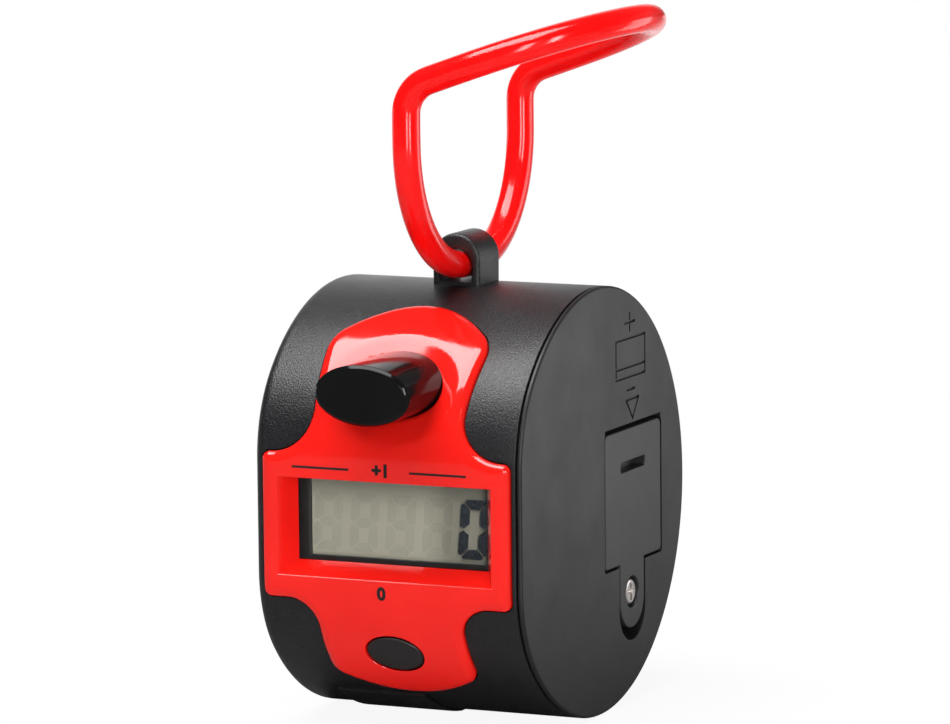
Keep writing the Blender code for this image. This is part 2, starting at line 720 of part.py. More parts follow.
def make_face_plate(material):
    rings = [(0.0, -FACE_SUNK)]
    for i in range(FACE_EDGE_STEPS + 1):
        a = math.pi / 2 * i / FACE_EDGE_STEPS
        rings.append((FACE_EDGE * (math.cos(a) - 1), FACE_PROUD - FACE_EDGE * (1 - math.sin(a))))
    plate = wrapped_plate("face_plate", unroll(face_outline()), rings)
    cut(plate, button_dish())
    frame = box(
        "frame",
        (CENTRE_X - WINDOW_INNER_HALF - WINDOW_FRAME, -FRONT_FLAT, WINDOW_INNER_BOTTOM - WINDOW_FRAME),
        (CENTRE_X + WINDOW_INNER_HALF + WINDOW_FRAME, WINDOW_END_Y, WINDOW_INNER_TOP + WINDOW_FRAME),
    )
    join(plate, frame)
    cut(plate, window_funnel())
    for centre_z, half_width, half_height in (
        (COUNT_Z, COUNT_HALF_WIDTH, COUNT_HALF_HEIGHT),
        (RESET_Z, RESET_HALF_WIDTH, RESET_HALF_HEIGHT),
    ):
        hole = ellipse((CENTRE_X, centre_z), half_width + BUTTON_GAP, half_height + BUTTON_GAP)
        cut(plate, prism("hole", hole, "Y", -2 * DRUM_RADIUS, -DRUM_RADIUS / 4))
    return dress(plate, material)


def make_lens(material):
    low_y = WINDOW_END_Y + SEAT
    lens = box(
        "window_lens",
        (CENTRE_X - WINDOW_INNER_HALF - WINDOW_FRAME, low_y, WINDOW_INNER_BOTTOM - WINDOW_FRAME),
        (CENTRE_X + WINDOW_INNER_HALF + WINDOW_FRAME, low_y + LENS_THICKNESS, WINDOW_INNER_TOP + WINDOW_FRAME),
    )
    return dress(lens, material)


# Display


class DisplayStack:
    """Where the display's layers lie, worked out from the window and the circuit board."""

    def __init__(self):
        self.frame_front = WINDOW_END_Y + SEAT + LENS_THICKNESS + SEAT
        self.glass_front = self.frame_front + LCD_FRAME_LIP + SEAT
        self.rear_glass = self.glass_front + GLASS_THICKNESS + SEAT
        self.reflector = self.rear_glass + GLASS_THICKNESS + SEAT
        self.frame_rear = BOARD_Y - SEAT
        self.view_half = WINDOW_INNER_HALF - LCD_MASK
        self.view_top = WINDOW_INNER_TOP - LCD_MASK / 4
        self.view_bottom = WINDOW_INNER_BOTTOM + LCD_MASK / 2
        self.glass_half = self.view_half + GLASS_BORDER
        self.glass_top = self.view_top + CONTACT_LEDGE
        self.glass_bottom = self.view_bottom - GLASS_BORDER


def make_display(stack, frame_material, glass_material, reflector_material, connector_material):
    half, top, bottom = stack.glass_half, stack.glass_top, stack.glass_bottom
    spread = SEAT + LCD_FRAME_WALL
    frame = box(
        "lcd_frame",
        (CENTRE_X - half - spread, stack.frame_front, bottom - spread),
        (CENTRE_X + half + spread, stack.frame_rear, top + spread),
    )
    pocket = box(
        "pocket",
        (CENTRE_X - half - SEAT, stack.frame_front + LCD_FRAME_LIP, bottom - SEAT),
        (CENTRE_X + half + SEAT, stack.frame_rear + WALL, top + SEAT),
    )
    view = box(
        "view",
        (CENTRE_X - stack.view_half, stack.frame_front - WALL, stack.view_bottom),
        (CENTRE_X + stack.view_half, stack.frame_rear, stack.view_top),
    )
    cut(frame, pocket, view)
    dress(frame, frame_material)
    front = box(
        "lcd_front_glass",
        (CENTRE_X - half, stack.glass_front, bottom),
        (CENTRE_X + half, stack.glass_front + GLASS_THICKNESS, top),
    )
    dress(front, glass_material)
    rear_top = top - CONTACT_LEDGE
    rear = box(
        "lcd_rear_glass",
        (CENTRE_X - half, stack.rear_glass, bottom),
        (CENTRE_X + half, stack.rear_glass + GLASS_THICKNESS, rear_top),
    )
    dress(rear, glass_material)
    reflector = box(
        "lcd_reflector",
        (CENTRE_X - half, stack.reflector, bottom),
        (CENTRE_X + half, stack.reflector + REFLECTOR_THICKNESS, rear_top),
    )
    dress(reflector, reflector_material)
    middle = top - CONTACT_LEDGE / 2
    strip = box(
        "lcd_connector",
        (CENTRE_X - half + CONNECTOR_END, stack.rear_glass, middle - CONNECTOR_WIDTH / 2),
        (CENTRE_X + half - CONNECTOR_END, BOARD_Y - SEAT, middle + CONNECTOR_WIDTH / 2),
    )
    dress(strip, connector_material)


# Circuit board and its parts


def make_board(board_material, blob_material, capacitor_material):
    top = board_half_height()
    outline = rounded_rectangle(WALL + FIT, BOARD_RIGHT, -top, top, BOARD_CORNER)
    board = prism("circuit_board", outline, "Y", BOARD_Y, BOARD_REAR_Y)
    dress(board, board_material)

    bm = bmesh.new()
    bmesh.ops.create_uvsphere(bm, u_segments=24, v_segments=12, radius=1.0)
    below = [face for face in bm.faces if face.calc_center_median().z < 0]
    bmesh.ops.delete(bm, geom=below, context="FACES")
    bmesh.ops.holes_fill(bm, edges=bm.edges)
    size = Matrix.Diagonal((BLOB_RADIUS, BLOB_RADIUS, BLOB_HEIGHT, 1.0))
    turn = Matrix.Rotation(-math.pi / 2, 4, "X")
    blob_z = -DRUM_RADIUS / 2
    place = Matrix.Translation((CENTRE_X, BOARD_REAR_Y + SEAT, blob_z))
    bmesh.ops.transform(bm, matrix=place @ turn @ size, verts=bm.verts)
    dress(add_object("chip_blob", bm), blob_material)

    middle = Vector((CENTRE_X / 2, BOARD_REAR_Y + SEAT, -blob_z))
    size = Vector((CAPACITOR_WIDTH, CAPACITOR_HEIGHT, CAPACITOR_LENGTH))
    low = middle - Vector((size.x / 2, 0, size.z / 2))
    capacitor = box("chip_capacitor", low, low + size)
    round_edges(capacitor, 0.1 * MM, lambda a, b: True, segments=1)
    dress(capacitor, capacitor_material)


def make_switch(name, centre_z, body_material):
    """A push switch on the board, open in the middle for its plunger."""
    half = SWITCH_SIDE / 2
    outline = rounded_rectangle(CENTRE_X - half, CENTRE_X + half, centre_z - half, centre_z + half, SWITCH_EDGE)
    body = prism(name, outline, "Y", SWITCH_FRONT_Y, BOARD_Y - SEAT)
    hole = PLUNGER_RADIUS + BUTTON_GAP
    cut(body, cylinder("hole", "Y", (CENTRE_X, centre_z), hole, SWITCH_FRONT_Y - WALL, BOARD_Y + WALL, 24))
    return dress(body, body_material)


def make_plunger(name, centre_z, material):
    front = SWITCH_FRONT_Y - PLUNGER_PROUD
    plunger = cylinder(name, "Y", (CENTRE_X, centre_z), PLUNGER_RADIUS, front, front + PLUNGER_LENGTH, 24)
    round_edges(plunger, 0.15 * MM, at_plane("Y", front))
    return move_origin(dress(plunger, material), (CENTRE_X, front, centre_z))


# Buttons


def flange_limit():
    """How far from the middle height a flange may reach before it meets the drum's inner wall."""
    front = SLEEVE_END - FIT
    return math.sqrt((DRUM_RADIUS - WALL - FIT) ** 2 - front**2)


def make_button(name, centre_z, half_width, half_height, front_y, material):
    """An elliptical post with a retaining flange behind its sleeve and a stem that meets the switch."""
    centre = (CENTRE_X, centre_z)
    flange_y = -SLEEVE_END + FIT
    middle_y = flange_y + FLANGE_THICKNESS / 2
    button = prism(name, ellipse(centre, half_width, half_height), "Y", front_y, middle_y)
    spread = FLANGE_OVERHANG
    rim = ellipse(centre, half_width + spread, half_height + spread)
    stem_end = SWITCH_FRONT_Y - PLUNGER_PROUD - FIT
    join(
        button,
        prism("flange", rim, "Y", flange_y, flange_y + FLANGE_THICKNESS),
        cylinder("stem", "Y", centre, STEM_RADIUS, middle_y, stem_end, 24),
    )
    reach = flange_limit()
    low, high = sorted((math.copysign(reach, centre_z), math.copysign(2 * DRUM_RADIUS, centre_z)))
    return cut(button, box("clip", (0, flange_y - SEAT, low), (DRUM_WIDTH, DRUM_RADIUS, high)))


def slope_end(button, centre_z, middle_y, tilt):
    """Cuts a button's end to a plane through its middle that leans by tilt about X."""
    size = 2 * DRUM_RADIUS
    bm = bmesh.new()
    bmesh.ops.create_cube(bm, size=size)
    turn = Matrix.Rotation(tilt, 4, "X")
    place = Matrix.Translation((CENTRE_X, middle_y, centre_z))
    shift = Matrix.Translation((0, -size / 2, 0))
    bmesh.ops.transform(bm, matrix=place @ turn @ shift, verts=bm.verts)
    return cut(button, add_object("end_cutter", bm))


def end_edges(middle_y, centre_z, tilt):
    """A test for edges that lie in a button's sloped end."""
    normal = Vector((0, math.cos(tilt), math.sin(tilt)))
    middle = Vector((CENTRE_X, middle_y, centre_z))
    return lambda a, b: abs((a - middle).dot(normal)) < 1e-6 and abs((b - middle).dot(normal)) < 1e-6


def make_buttons(button_material, plunger_material):
    end_y = -FRONT_FLAT - COUNT_PROJECTION
    count = make_button(
        "count_button", COUNT_Z, COUNT_HALF_WIDTH, COUNT_HALF_HEIGHT, end_y - COUNT_HALF_HEIGHT, button_material
    )
    slope_end(count, COUNT_Z, end_y, COUNT_END_SLANT)
    round_edges(count, COUNT_END_EDGE, end_edges(end_y, COUNT_Z, COUNT_END_SLANT), segments=3)
    move_origin(dress(count, button_material), (CENTRE_X, end_y, COUNT_Z))

    top_y = -(FACE_RADIUS - RESET_SUNK) * math.cos(RESET_ANGLE)
    reset = make_button(
        "reset_button", RESET_Z, RESET_HALF_WIDTH, RESET_HALF_HEIGHT, -DRUM_RADIUS - WALL, button_material
    )
    slope_end(reset, RESET_Z, top_y, RESET_ANGLE)
    round_edges(reset, RESET_EDGE, end_edges(top_y, RESET_Z, RESET_ANGLE))
    move_origin(dress(reset, button_material), (CENTRE_X, top_y, RESET_Z))

    carry(make_plunger("count_plunger", COUNT_Z, plunger_material), count)
    carry(make_plunger("reset_plunger", RESET_Z, plunger_material), reset)


# Battery cap, door and screw


def compartment():
    """The inner corners of the battery compartment."""
    half_width = CELL_RADIUS + FIT
    low = Vector((CELL_X - CELL_RADIUS - FIT, DOOR_CENTRE_Y - half_width, CELL_FLOOR - CONTACT_SPACE))
    high = Vector((CAP_INSIDE, DOOR_CENTRE_Y + half_width, CELL_TOP + CONTACT_SPACE))
    return low, high


def make_cap(material):
    cap = drum_prism("battery_cap", 0, CAP_SPLIT, DRUM_WIDTH)
    round_edges(cap, RIM_EDGE, at_plane("X", DRUM_WIDTH), segments=3)
    inset = WALL + FIT
    overlap = RIM_THICKNESS / 3
    plug = drum_prism("plug", -inset, CAP_INSIDE - SKIRT_LENGTH, CAP_SPLIT + overlap)
    hollow = drum_prism("hollow", -inset - SKIRT_WALL, 0, CAP_INSIDE)
    join(hollow, box("notch", (0, -DRUM_RADIUS, -PANEL_BOTTOM), (CAP_INSIDE, 0, PANEL_BOTTOM)))
    cut(plug, hollow)
    join(cap, plug)
    low, high = compartment()
    wall = Vector((COMPARTMENT_WALL, COMPARTMENT_WALL, COMPARTMENT_WALL))
    join(cap, box("compartment", low - wall, Vector((CAP_INSIDE + overlap, high.y + wall.y, high.z + wall.z))))
    boss = SHANK_RADIUS + SHANK_GAP + BOSS_WALL
    seat_x = DOOR_INSIDE - FIT
    bore_end = DRUM_WIDTH - SCREW_HOLE_DEPTH - SHANK_LENGTH - FIT
    centre = (TONGUE_CENTRE_Y, -SCREW_Z)
    join(cap, cylinder("boss", "X", centre, boss, bore_end - BOSS_FLOOR, CAP_INSIDE + overlap, 28))
    cut(cap, box("room", low, Vector((DRUM_WIDTH * 2, high.y, high.z))))
    cut(cap, prism("recess", door_outline(DOOR_GAP, NAIL_NOTCH), "X", seat_x, 2 * DRUM_WIDTH))
    cut(cap, cylinder("bore", "X", centre, SHANK_RADIUS + SHANK_GAP, bore_end, DRUM_WIDTH, 20))
    slot_half = CONTACT_WIDTH / 2 + FIT
    tall = CONTACT_THICKNESS + 2 * SEAT
    for z_low, z_high in ((high.z - SEAT - tall, high.z - SEAT), (low.z + SEAT, low.z + SEAT + tall)):
        slot = box("slot", (CELL_X - slot_half, low.y - 2 * wall.y, z_low), (CELL_X + slot_half, low.y + FIT, z_high))
        cut(cap, slot)
    return dress(cap, material)


def make_door(material):
    door = prism("battery_door", door_outline(), "X", DOOR_INSIDE, DRUM_WIDTH)
    slot_left = DOOR_CENTRE_Y - GRIP_SLOT_LENGTH / 2
    slot = box(
        "slot",
        (DRUM_WIDTH - GRIP_SLOT_DEPTH, slot_left, GRIP_SLOT_Z - GRIP_SLOT_HEIGHT / 2),
        (2 * DRUM_WIDTH, slot_left + GRIP_SLOT_LENGTH, GRIP_SLOT_Z + GRIP_SLOT_HEIGHT / 2),
    )
    cut(door, slot)
    centre = (TONGUE_CENTRE_Y, -SCREW_Z)
    cut(
        door,
        cylinder("well", "X", centre, SCREW_HOLE_RADIUS, DRUM_WIDTH - SCREW_HOLE_DEPTH, 2 * DRUM_WIDTH, 28),
        cylinder("hole", "X", centre, SHANK_RADIUS + SHANK_GAP, 0, 2 * DRUM_WIDTH, 20),
    )
    low, high = compartment()
    for y in (low.y + FIT, high.y - FIT - DOOR_RIB_THICKNESS):
        rib = box(
            "rib",
            (DOOR_INSIDE - DOOR_RIB_DEPTH, y, CELL_CENTRE_Z - DOOR_RIB_HEIGHT / 2),
            (DOOR_INSIDE + DOOR_THICKNESS / 3, y + DOOR_RIB_THICKNESS, CELL_CENTRE_Z + DOOR_RIB_HEIGHT / 2),
        )
        join(door, rib)
    return move_origin(dress(door, material), (DRUM_WIDTH, DOOR_CENTRE_Y, 0))


def make_screw(material, door):
    centre = (TONGUE_CENTRE_Y, -SCREW_Z)
    under_head = DRUM_WIDTH - SCREW_HOLE_DEPTH + SEAT
    head_top = under_head + SCREW_HEAD_HEIGHT
    screw = cylinder("door_screw", "X", centre, SCREW_HEAD_RADIUS, under_head, head_top, 28)
    round_edges(screw, SCREW_HEAD_EDGE, at_plane("X", head_top))
    shank_end = under_head - SHANK_LENGTH
    shank = cylinder("shank", "X", centre, SHANK_RADIUS, shank_end, under_head + SCREW_HEAD_HEIGHT / 3, 20)
    round_edges(shank, SHANK_RADIUS / 2, at_plane("X", shank_end), segments=1)
    join(screw, shank)
    for across, along in ((RECESS_LENGTH, RECESS_WIDTH), (RECESS_WIDTH, RECESS_LENGTH)):
        slot = box(
            "recess",
            (head_top - RECESS_DEPTH, centre[0] - across / 2, centre[1] - along / 2),
            (head_top + WALL, centre[0] + across / 2, centre[1] + along / 2),
        )
        cut(screw, slot)
    move_origin(dress(screw, material), (head_top, *centre))
    carry(screw, door)


# Power


def make_cell(material):
    """A button cell standing on its narrower negative pole, its axis upright."""
    bm = bmesh.new()
    edge = CELL_EDGE
    profile = [
        (0, CELL_TOP),
        (CELL_RADIUS - edge, CELL_TOP),
        (CELL_RADIUS, CELL_TOP - edge),
        (CELL_RADIUS, CELL_FLOOR + CELL_STEP_HEIGHT + edge),
        (CELL_RADIUS - edge, CELL_FLOOR + CELL_STEP_HEIGHT),
        (CELL_STEP_RADIUS, CELL_FLOOR + CELL_STEP_HEIGHT),
        (CELL_STEP_RADIUS, CELL_FLOOR),
        (0, CELL_FLOOR),
    ]
    verts = [bm.verts.new((x, 0, z)) for x, z in profile]
    line = [bm.edges.new(pair) for pair in zip(verts, verts[1:])]
    bmesh.ops.spin(bm, geom=verts + line, cent=(0, 0, 0), axis=(0, 0, 1), angle=2 * math.pi, steps=36, use_merge=True)
    bmesh.ops.remove_doubles(bm, verts=bm.verts, dist=1e-6)
    bmesh.ops.translate(bm, verts=bm.verts, vec=(CELL_X, DOOR_CENTRE_Y, 0))
    return dress(add_object("button_cell", bm), material)


def make_contacts(material):
    """The positive leaf above the cell and the folded negative spring below it."""
    low, high = compartment()
    foot_y = BOARD_REAR_Y + SEAT + CONTACT_THICKNESS / 2
    reach = CELL_RADIUS - CONTACT_FOOT
    roof = high.z - 2 * SEAT - CONTACT_THICKNESS / 2
    touch = CELL_TOP + FIT + CONTACT_THICKNESS / 2
    middle = DOOR_CENTRE_Y
    positive = [
        (foot_y, roof + CONTACT_FOOT),
        (foot_y, roof),
        (middle - reach / 2, roof),
        (middle, touch),
        (middle + reach / 2, roof),
        (middle + reach, roof),
    ]
    floor = low.z + 2 * SEAT + CONTACT_THICKNESS / 2
    press = CELL_FLOOR - FIT - CONTACT_THICKNESS / 2
    negative = [
        (foot_y, floor - CONTACT_FOOT),
        (foot_y, floor),
        (middle + reach, floor),
        (middle + reach + CONTACT_THICKNESS, floor + CONTACT_THICKNESS),
        (middle, press),
        (middle - reach / 2, press - CONTACT_THICKNESS),
    ]
    sides = (CELL_X - CONTACT_WIDTH / 2, CELL_X + CONTACT_WIDTH / 2)
    for name, line in (("positive_contact", positive), ("negative_contact", negative)):
        dress(sheet_strip(name, line, CONTACT_THICKNESS, *sides), material)


# Ring


def make_ring(material):
    """The ring's wire as a closed curve, with its origin on the hinge axis."""
    cocked = Matrix.Rotation(RING_COCK, 3, "X")
    leant = Matrix.Rotation(RING_LEAN, 3, "Y")
    points = [leant @ cocked @ point for point in ring_points()]
    curve = bpy.data.curves.new("finger_ring", "CURVE")
    curve.dimensions = "3D"
    curve.bevel_depth = WIRE_RADIUS
    curve.bevel_resolution = 4
    curve.use_fill_caps = True
    spline = curve.splines.new("POLY")
    spline.points.add(len(points) - 1)
    for spline_point, point in zip(spline.points, points):
        spline_point.co = (*point, 1.0)
    spline.use_cyclic_u = True
    spline.use_smooth = True
    ring = bpy.data.objects.new("finger_ring", curve)
    bpy.context.scene.collection.objects.link(ring)
    ring.location = (CENTRE_X, 0, PIVOT_Z)
    return dress(ring, material)


def main():
    clear_scene()
    black = finish("black_abs", (0.030, 0.030, 0.032), 0.42)
    red = finish("red_gloss", (0.86, 0.022, 0.014), 0.16)
    gloss_black = finish("gloss_black", (0.012, 0.012, 0.013), 0.14)
    ring_red = finish("ring_red", (0.90, 0.008, 0.010), 0.14)
    clear = finish("clear_acrylic", (0.95, 0.96, 0.95), 0.03, transmission=1.0)
    glass = finish("display_glass", (0.62, 0.65, 0.56), 0.08, transmission=0.6)
    silver = finish("reflector_film", (0.50, 0.52, 0.43), 0.5)
    rubber = finish("connector_rubber", (0.55, 0.52, 0.50), 0.7)
    green = finish("board_green", (0.03, 0.16, 0.06), 0.45)
    resin = finish("black_resin", (0.015, 0.015, 0.015), 0.3)
    ceramic = finish("ceramic", (0.42, 0.30, 0.18), 0.5)
    steel = finish("plated_steel", (0.72, 0.71, 0.69), 0.3, metallic=1.0)
    make_shell(black)
    make_sole_pad(black)
    make_cap(black)
    make_face_plate(red)
    make_lens(clear)
    make_display(DisplayStack(), black, glass, silver, rubber)
    make_board(green, resin, ceramic)
    make_switch("count_switch", COUNT_Z, resin)
    make_switch("reset_switch", RESET_Z, resin)
    make_buttons(gloss_black, resin)
    make_screw(steel, make_door(black))
    make_cell(steel)
    make_contacts(steel)
    make_ring(ring_red)


main()
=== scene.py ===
"""Looks of a drum-shaped electronic tally counter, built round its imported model.

Lengths are in metres, in the model's own frame: +X runs along the drum's axis to the battery cap, -Y comes
out of the display side, and +Z points to the finger ring.
"""

import logging
import math
from contextlib import contextmanager
from dataclasses import dataclass, field
from enum import Enum
from typing import Callable, ClassVar, Iterator, Sequence

import bmesh
import bpy
import numpy as np
from mathutils import Matrix, Vector


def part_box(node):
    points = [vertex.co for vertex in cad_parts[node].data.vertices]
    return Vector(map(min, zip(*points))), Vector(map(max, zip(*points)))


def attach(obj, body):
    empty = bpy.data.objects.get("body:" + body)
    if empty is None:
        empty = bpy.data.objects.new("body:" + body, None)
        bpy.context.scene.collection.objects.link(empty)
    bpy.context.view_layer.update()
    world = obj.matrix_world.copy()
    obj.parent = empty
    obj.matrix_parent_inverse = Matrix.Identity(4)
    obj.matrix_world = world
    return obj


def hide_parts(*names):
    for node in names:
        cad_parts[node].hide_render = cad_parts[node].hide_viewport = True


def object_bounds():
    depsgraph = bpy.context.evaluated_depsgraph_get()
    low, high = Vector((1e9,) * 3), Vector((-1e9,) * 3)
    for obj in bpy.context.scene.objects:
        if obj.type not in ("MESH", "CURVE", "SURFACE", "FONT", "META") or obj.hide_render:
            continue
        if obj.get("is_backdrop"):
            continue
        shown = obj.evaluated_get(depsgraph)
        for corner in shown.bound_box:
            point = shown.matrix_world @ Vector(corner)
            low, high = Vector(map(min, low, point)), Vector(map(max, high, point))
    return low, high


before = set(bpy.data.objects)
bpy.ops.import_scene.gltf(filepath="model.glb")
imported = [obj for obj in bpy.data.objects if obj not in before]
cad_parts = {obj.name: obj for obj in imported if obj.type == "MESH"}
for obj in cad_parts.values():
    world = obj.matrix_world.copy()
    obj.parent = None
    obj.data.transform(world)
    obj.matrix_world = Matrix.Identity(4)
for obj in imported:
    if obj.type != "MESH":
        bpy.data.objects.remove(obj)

log = logging.getLogger("tally_counter")

MM = 0.001
OVERSHOOT = 1 * MM
NEAR = 0.02 * MM
SAME_PLACE = 1e-6
HAIR = 1e-7
SLIVER = 1e-8
NOTHING = 1e-9
ARC_STEP = math.radians(3)
SMOOTH_ANGLE = math.radians(32)
QUARTER = math.pi / 2
IMAGE_WIDTH = 950

Point = tuple[float, float]
Place = tuple[float, float, float]
Colour = tuple[float, float, float]
Piece = bpy.types.Object
Socket = bpy.types.NodeSocket
EdgeTest = Callable[[bmesh.types.BMEdge], bool]
FaceTest = Callable[[bmesh.types.BMFace], bool]


class Body(Enum):
    """The bodies that pieces ride on."""

    HOUSING = "housing"
    RING = "ring"
    COUNT_KEY = "count_key"
    RESET_KEY = "reset_key"
    DOOR = "door"
    SCREW = "screw"


class Facing(Enum):
    """The plane an outline is drawn in: x and z from the front, or y and z from the battery cap's end."""

    FRONT = "front"
    END = "end"

    def place(self, a: float, b: float, depth: float) -> Vector:
        """The point at (a, b) in this plane and at depth across it."""
        return Vector((a, depth, b)) if self is Facing.FRONT else Vector((depth, a, b))

    def spin_axis(self) -> Vector:
        """The axis about which the spin operator turns anticlockwise in this plane."""
        return Vector((0, 1, 0)) if self is Facing.FRONT else Vector((-1, 0, 0))


@dataclass(frozen=True)
class Arc:
    """A run of an outline: part of a circle, or a plain corner where the radius is 0."""

    centre: Point
    radius: float = 0.0
    start: float = 0.0
    end: float = 0.0

    def at(self, turn: float) -> Point:
        """The point of the circle at an angle."""
        across, up = self.centre
        return (across + self.radius * math.cos(turn), up + self.radius * math.sin(turn))

    def mirrored(self) -> "Arc":
        """The same run on the other side of x = 0, still anticlockwise."""
        return Arc((-self.centre[0], self.centre[1]), self.radius, math.pi - self.end, math.pi - self.start)

    def shifted(self, right: float) -> "Arc":
        """The run moved along x."""
        return Arc((self.centre[0] + right, self.centre[1]), self.radius, self.start, self.end)


def activate(piece: Piece) -> None:
    """Selects one piece alone and makes it the active one.

    Args:
        piece: the piece.
    """
    bpy.ops.object.select_all(action="DESELECT")
    piece.select_set(True)
    bpy.context.view_layer.objects.active = piece


@contextmanager
def shaping(piece: Piece) -> Iterator[bmesh.types.BMesh]:
    """Opens a piece in edit mode and closes it again.

    Args:
        piece: the mesh object to shape.

    Returns:
        The edit mesh, while the block runs.
    """
    activate(piece)
    bpy.ops.object.mode_set(mode="EDIT")
    bpy.ops.mesh.select_mode(type="VERT")
    try:
        yield bmesh.from_edit_mesh(piece.data)
    finally:
        bpy.ops.object.mode_set(mode="OBJECT")


def pick_edges(piece: Piece, chosen: EdgeTest) -> None:
    """Selects the edges of the open piece that pass a test, and nothing else.

    Args:
        piece: the open piece.
        chosen: the test.
    """
    bpy.ops.mesh.select_mode(type="EDGE")
    bpy.ops.mesh.select_all(action="DESELECT")
    mesh = bmesh.from_edit_mesh(piece.data)
    for edge in mesh.edges:
        if chosen(edge):
            edge.select_set(True)
    bmesh.update_edit_mesh(piece.data)


def pick_faces(piece: Piece, chosen: FaceTest) -> None:
    """Selects the faces of the open piece that pass a test, and nothing else.

    Args:
        piece: the open piece.
        chosen: the test.
    """
    bpy.ops.mesh.select_mode(type="FACE")
    bpy.ops.mesh.select_all(action="DESELECT")
    mesh = bmesh.from_edit_mesh(piece.data)
    mesh.normal_update()
    for face in mesh.faces:
        if chosen(face):
            face.select_set(True)
    bmesh.update_edit_mesh(piece.data)


def on_plane(axis: str, value: float) -> EdgeTest:
    """A test for edges that lie in one plane across an axis."""
    index = "XYZ".index(axis)
    return lambda edge: all(abs(vert.co[index] - value) < SAME_PLACE for vert in edge.verts)


def facing(normal: Sequence[float], low: float = 0.9) -> FaceTest:
    """A test for faces that look along a direction."""
    way = Vector(normal).normalized()
    return lambda face: face.normal.dot(way) > low


def take_all() -> None:
    """Selects all of the open piece."""
    bpy.ops.mesh.select_all(action="SELECT")


def turn_outwards() -> None:
    """Turns all faces of the open piece outwards."""
    take_all()
    bpy.ops.mesh.normals_make_consistent(inside=False)


def extrude(move: Sequence[float]) -> None:
    """Extrudes what is selected along a vector."""
    bpy.ops.mesh.extrude_region_move(TRANSFORM_OT_translate={"value": Vector(move)})


def round_off(width: float, segments: int = 3) -> None:
    """Bevels the selected edges."""
    bpy.ops.mesh.bevel(offset=width, segments=segments, profile=0.5, affect="EDGES", clamp_overlap=False)


def settle(name: str) -> Piece:
    """Names the piece that was just added, and takes its place, turn and size into its mesh.

    Args:
        name: its name.

    Returns:
        The piece.
    """
    piece = bpy.context.object
    piece.name = name
    bpy.ops.object.transform_apply(location=True, rotation=True, scale=True)
    return piece


def join(first: Piece, others: Sequence[Piece]) -> None:
    """Joins pieces to the first one, each as it is.

    Args:
        first: the piece that stays.
        others: the pieces that become part of it.
    """
    activate(first)
    for other in others:
        other.select_set(True)
    bpy.ops.object.join()


def draw_face(
    name: str, arcs: Sequence[Arc], plane: Facing, depth: float, step: float = ARC_STEP
) -> Piece:
    """Draws an outline by extruding and spinning one point, and fills it.

    Args:
        name: the new piece's name.
        arcs: the outline's runs in order, anticlockwise. Straight lines join them.
        plane: the plane that they are given in.
        depth: where that plane lies.
        step: the largest turn of one segment.

    Returns:
        The piece, one flat face.
    """
    bpy.ops.mesh.primitive_plane_add(size=MM)
    piece = bpy.context.object
    piece.name = name
    first = here = plane.place(*arcs[0].at(arcs[0].start), depth)
    with shaping(piece):
        take_all()
        bpy.ops.mesh.merge(type="CENTER")
        bpy.ops.transform.translate(value=first)
        for arc in arcs:
            start = plane.place(*arc.at(arc.start), depth)
            if (start - here).length > HAIR:
                extrude(start - here)
            if arc.radius > 0:
                turn = arc.end - arc.start
                bpy.ops.mesh.spin(
                    steps=max(1, math.ceil(abs(turn) / step - SAME_PLACE)),
                    angle=turn,
                    center=plane.place(*arc.centre, depth),
                    axis=plane.spin_axis(),
                )
            here = plane.place(*arc.at(arc.end), depth)
        if (first - here).length > HAIR:
            extrude(first - here)
        take_all()
        bpy.ops.mesh.remove_doubles(threshold=SAME_PLACE)
        bpy.ops.mesh.edge_face_add()
    return piece


def thicken(piece: Piece, move: Sequence[float]) -> Piece:
    """Extrudes a flat piece into a closed solid.

    Args:
        piece: the flat piece.
        move: the vector from its face to the solid's other end.

    Returns:
        The piece.
    """
    with shaping(piece):
        take_all()
        extrude(move)
        turn_outwards()
    return piece


def block(name: str, low: Sequence[float], high: Sequence[float]) -> Piece:
    """A cube placed and sized to its corners, to be shaped or to cut with.

    Args:
        name: the new piece's name.
        low: its lowest corner.
        high: its highest corner.

    Returns:
        The cube, its place in its mesh.
    """
    low, high = Vector(low), Vector(high)
    bpy.ops.mesh.primitive_cube_add(size=1, location=(low + high) / 2, scale=high - low)
    return settle(name)


def rod(
    name: str, plane: Facing, centre: Point, radius: float, low: float, high: float, sides: int = 48
) -> Piece:
    """A round bar across a plane.

    Args:
        name: the new piece's name.
        plane: the plane that the bar stands across.
        centre: its middle in that plane.
        radius: its radius.
        low: where it starts.
        high: where it ends.
        sides: how many flats stand for the round.

    Returns:
        The bar, its place in its mesh.
    """
    bpy.ops.mesh.primitive_cylinder_add(
        vertices=sides,
        radius=radius,
        depth=high - low,
        location=plane.place(*centre, (low + high) / 2),
        rotation=(QUARTER, 0, 0) if plane is Facing.FRONT else (0, QUARTER, 0),
    )
    return settle(name)


def carve(piece: Piece, *cutters: Piece, how: str = "DIFFERENCE") -> Piece:
    """Cuts tools from a piece, or fuses them to it, and removes the tools.

    Args:
        piece: what is worked on.
        cutters: the closed solids to cut with.
        how: the Boolean's operation.

    Returns:
        The piece.
    """
    for cutter in cutters:
        modifier = piece.modifiers.new("carve", "BOOLEAN")
        modifier.operation = how
        modifier.solver = "EXACT"
        modifier.object = cutter
        activate(piece)
        bpy.ops.object.modifier_apply(modifier=modifier.name)
        bpy.data.objects.remove(cutter, do_unlink=True)
    return piece


def fuse(piece: Piece, *others: Piece) -> Piece:
    """Joins solids to a piece."""
    return carve(piece, *others, how="UNION")


def bevel(piece: Piece, width: float, chosen: EdgeTest, segments: int = 3) -> None:
    """Rounds the chosen edges of a piece.

    Args:
        piece: what is rounded.
        width: how wide the rounding is.
        chosen: the test that its edges pass.
        segments: how many flats stand for the round.
    """
    with shaping(piece):
        pick_edges(piece, chosen)
        round_off(width, segments)


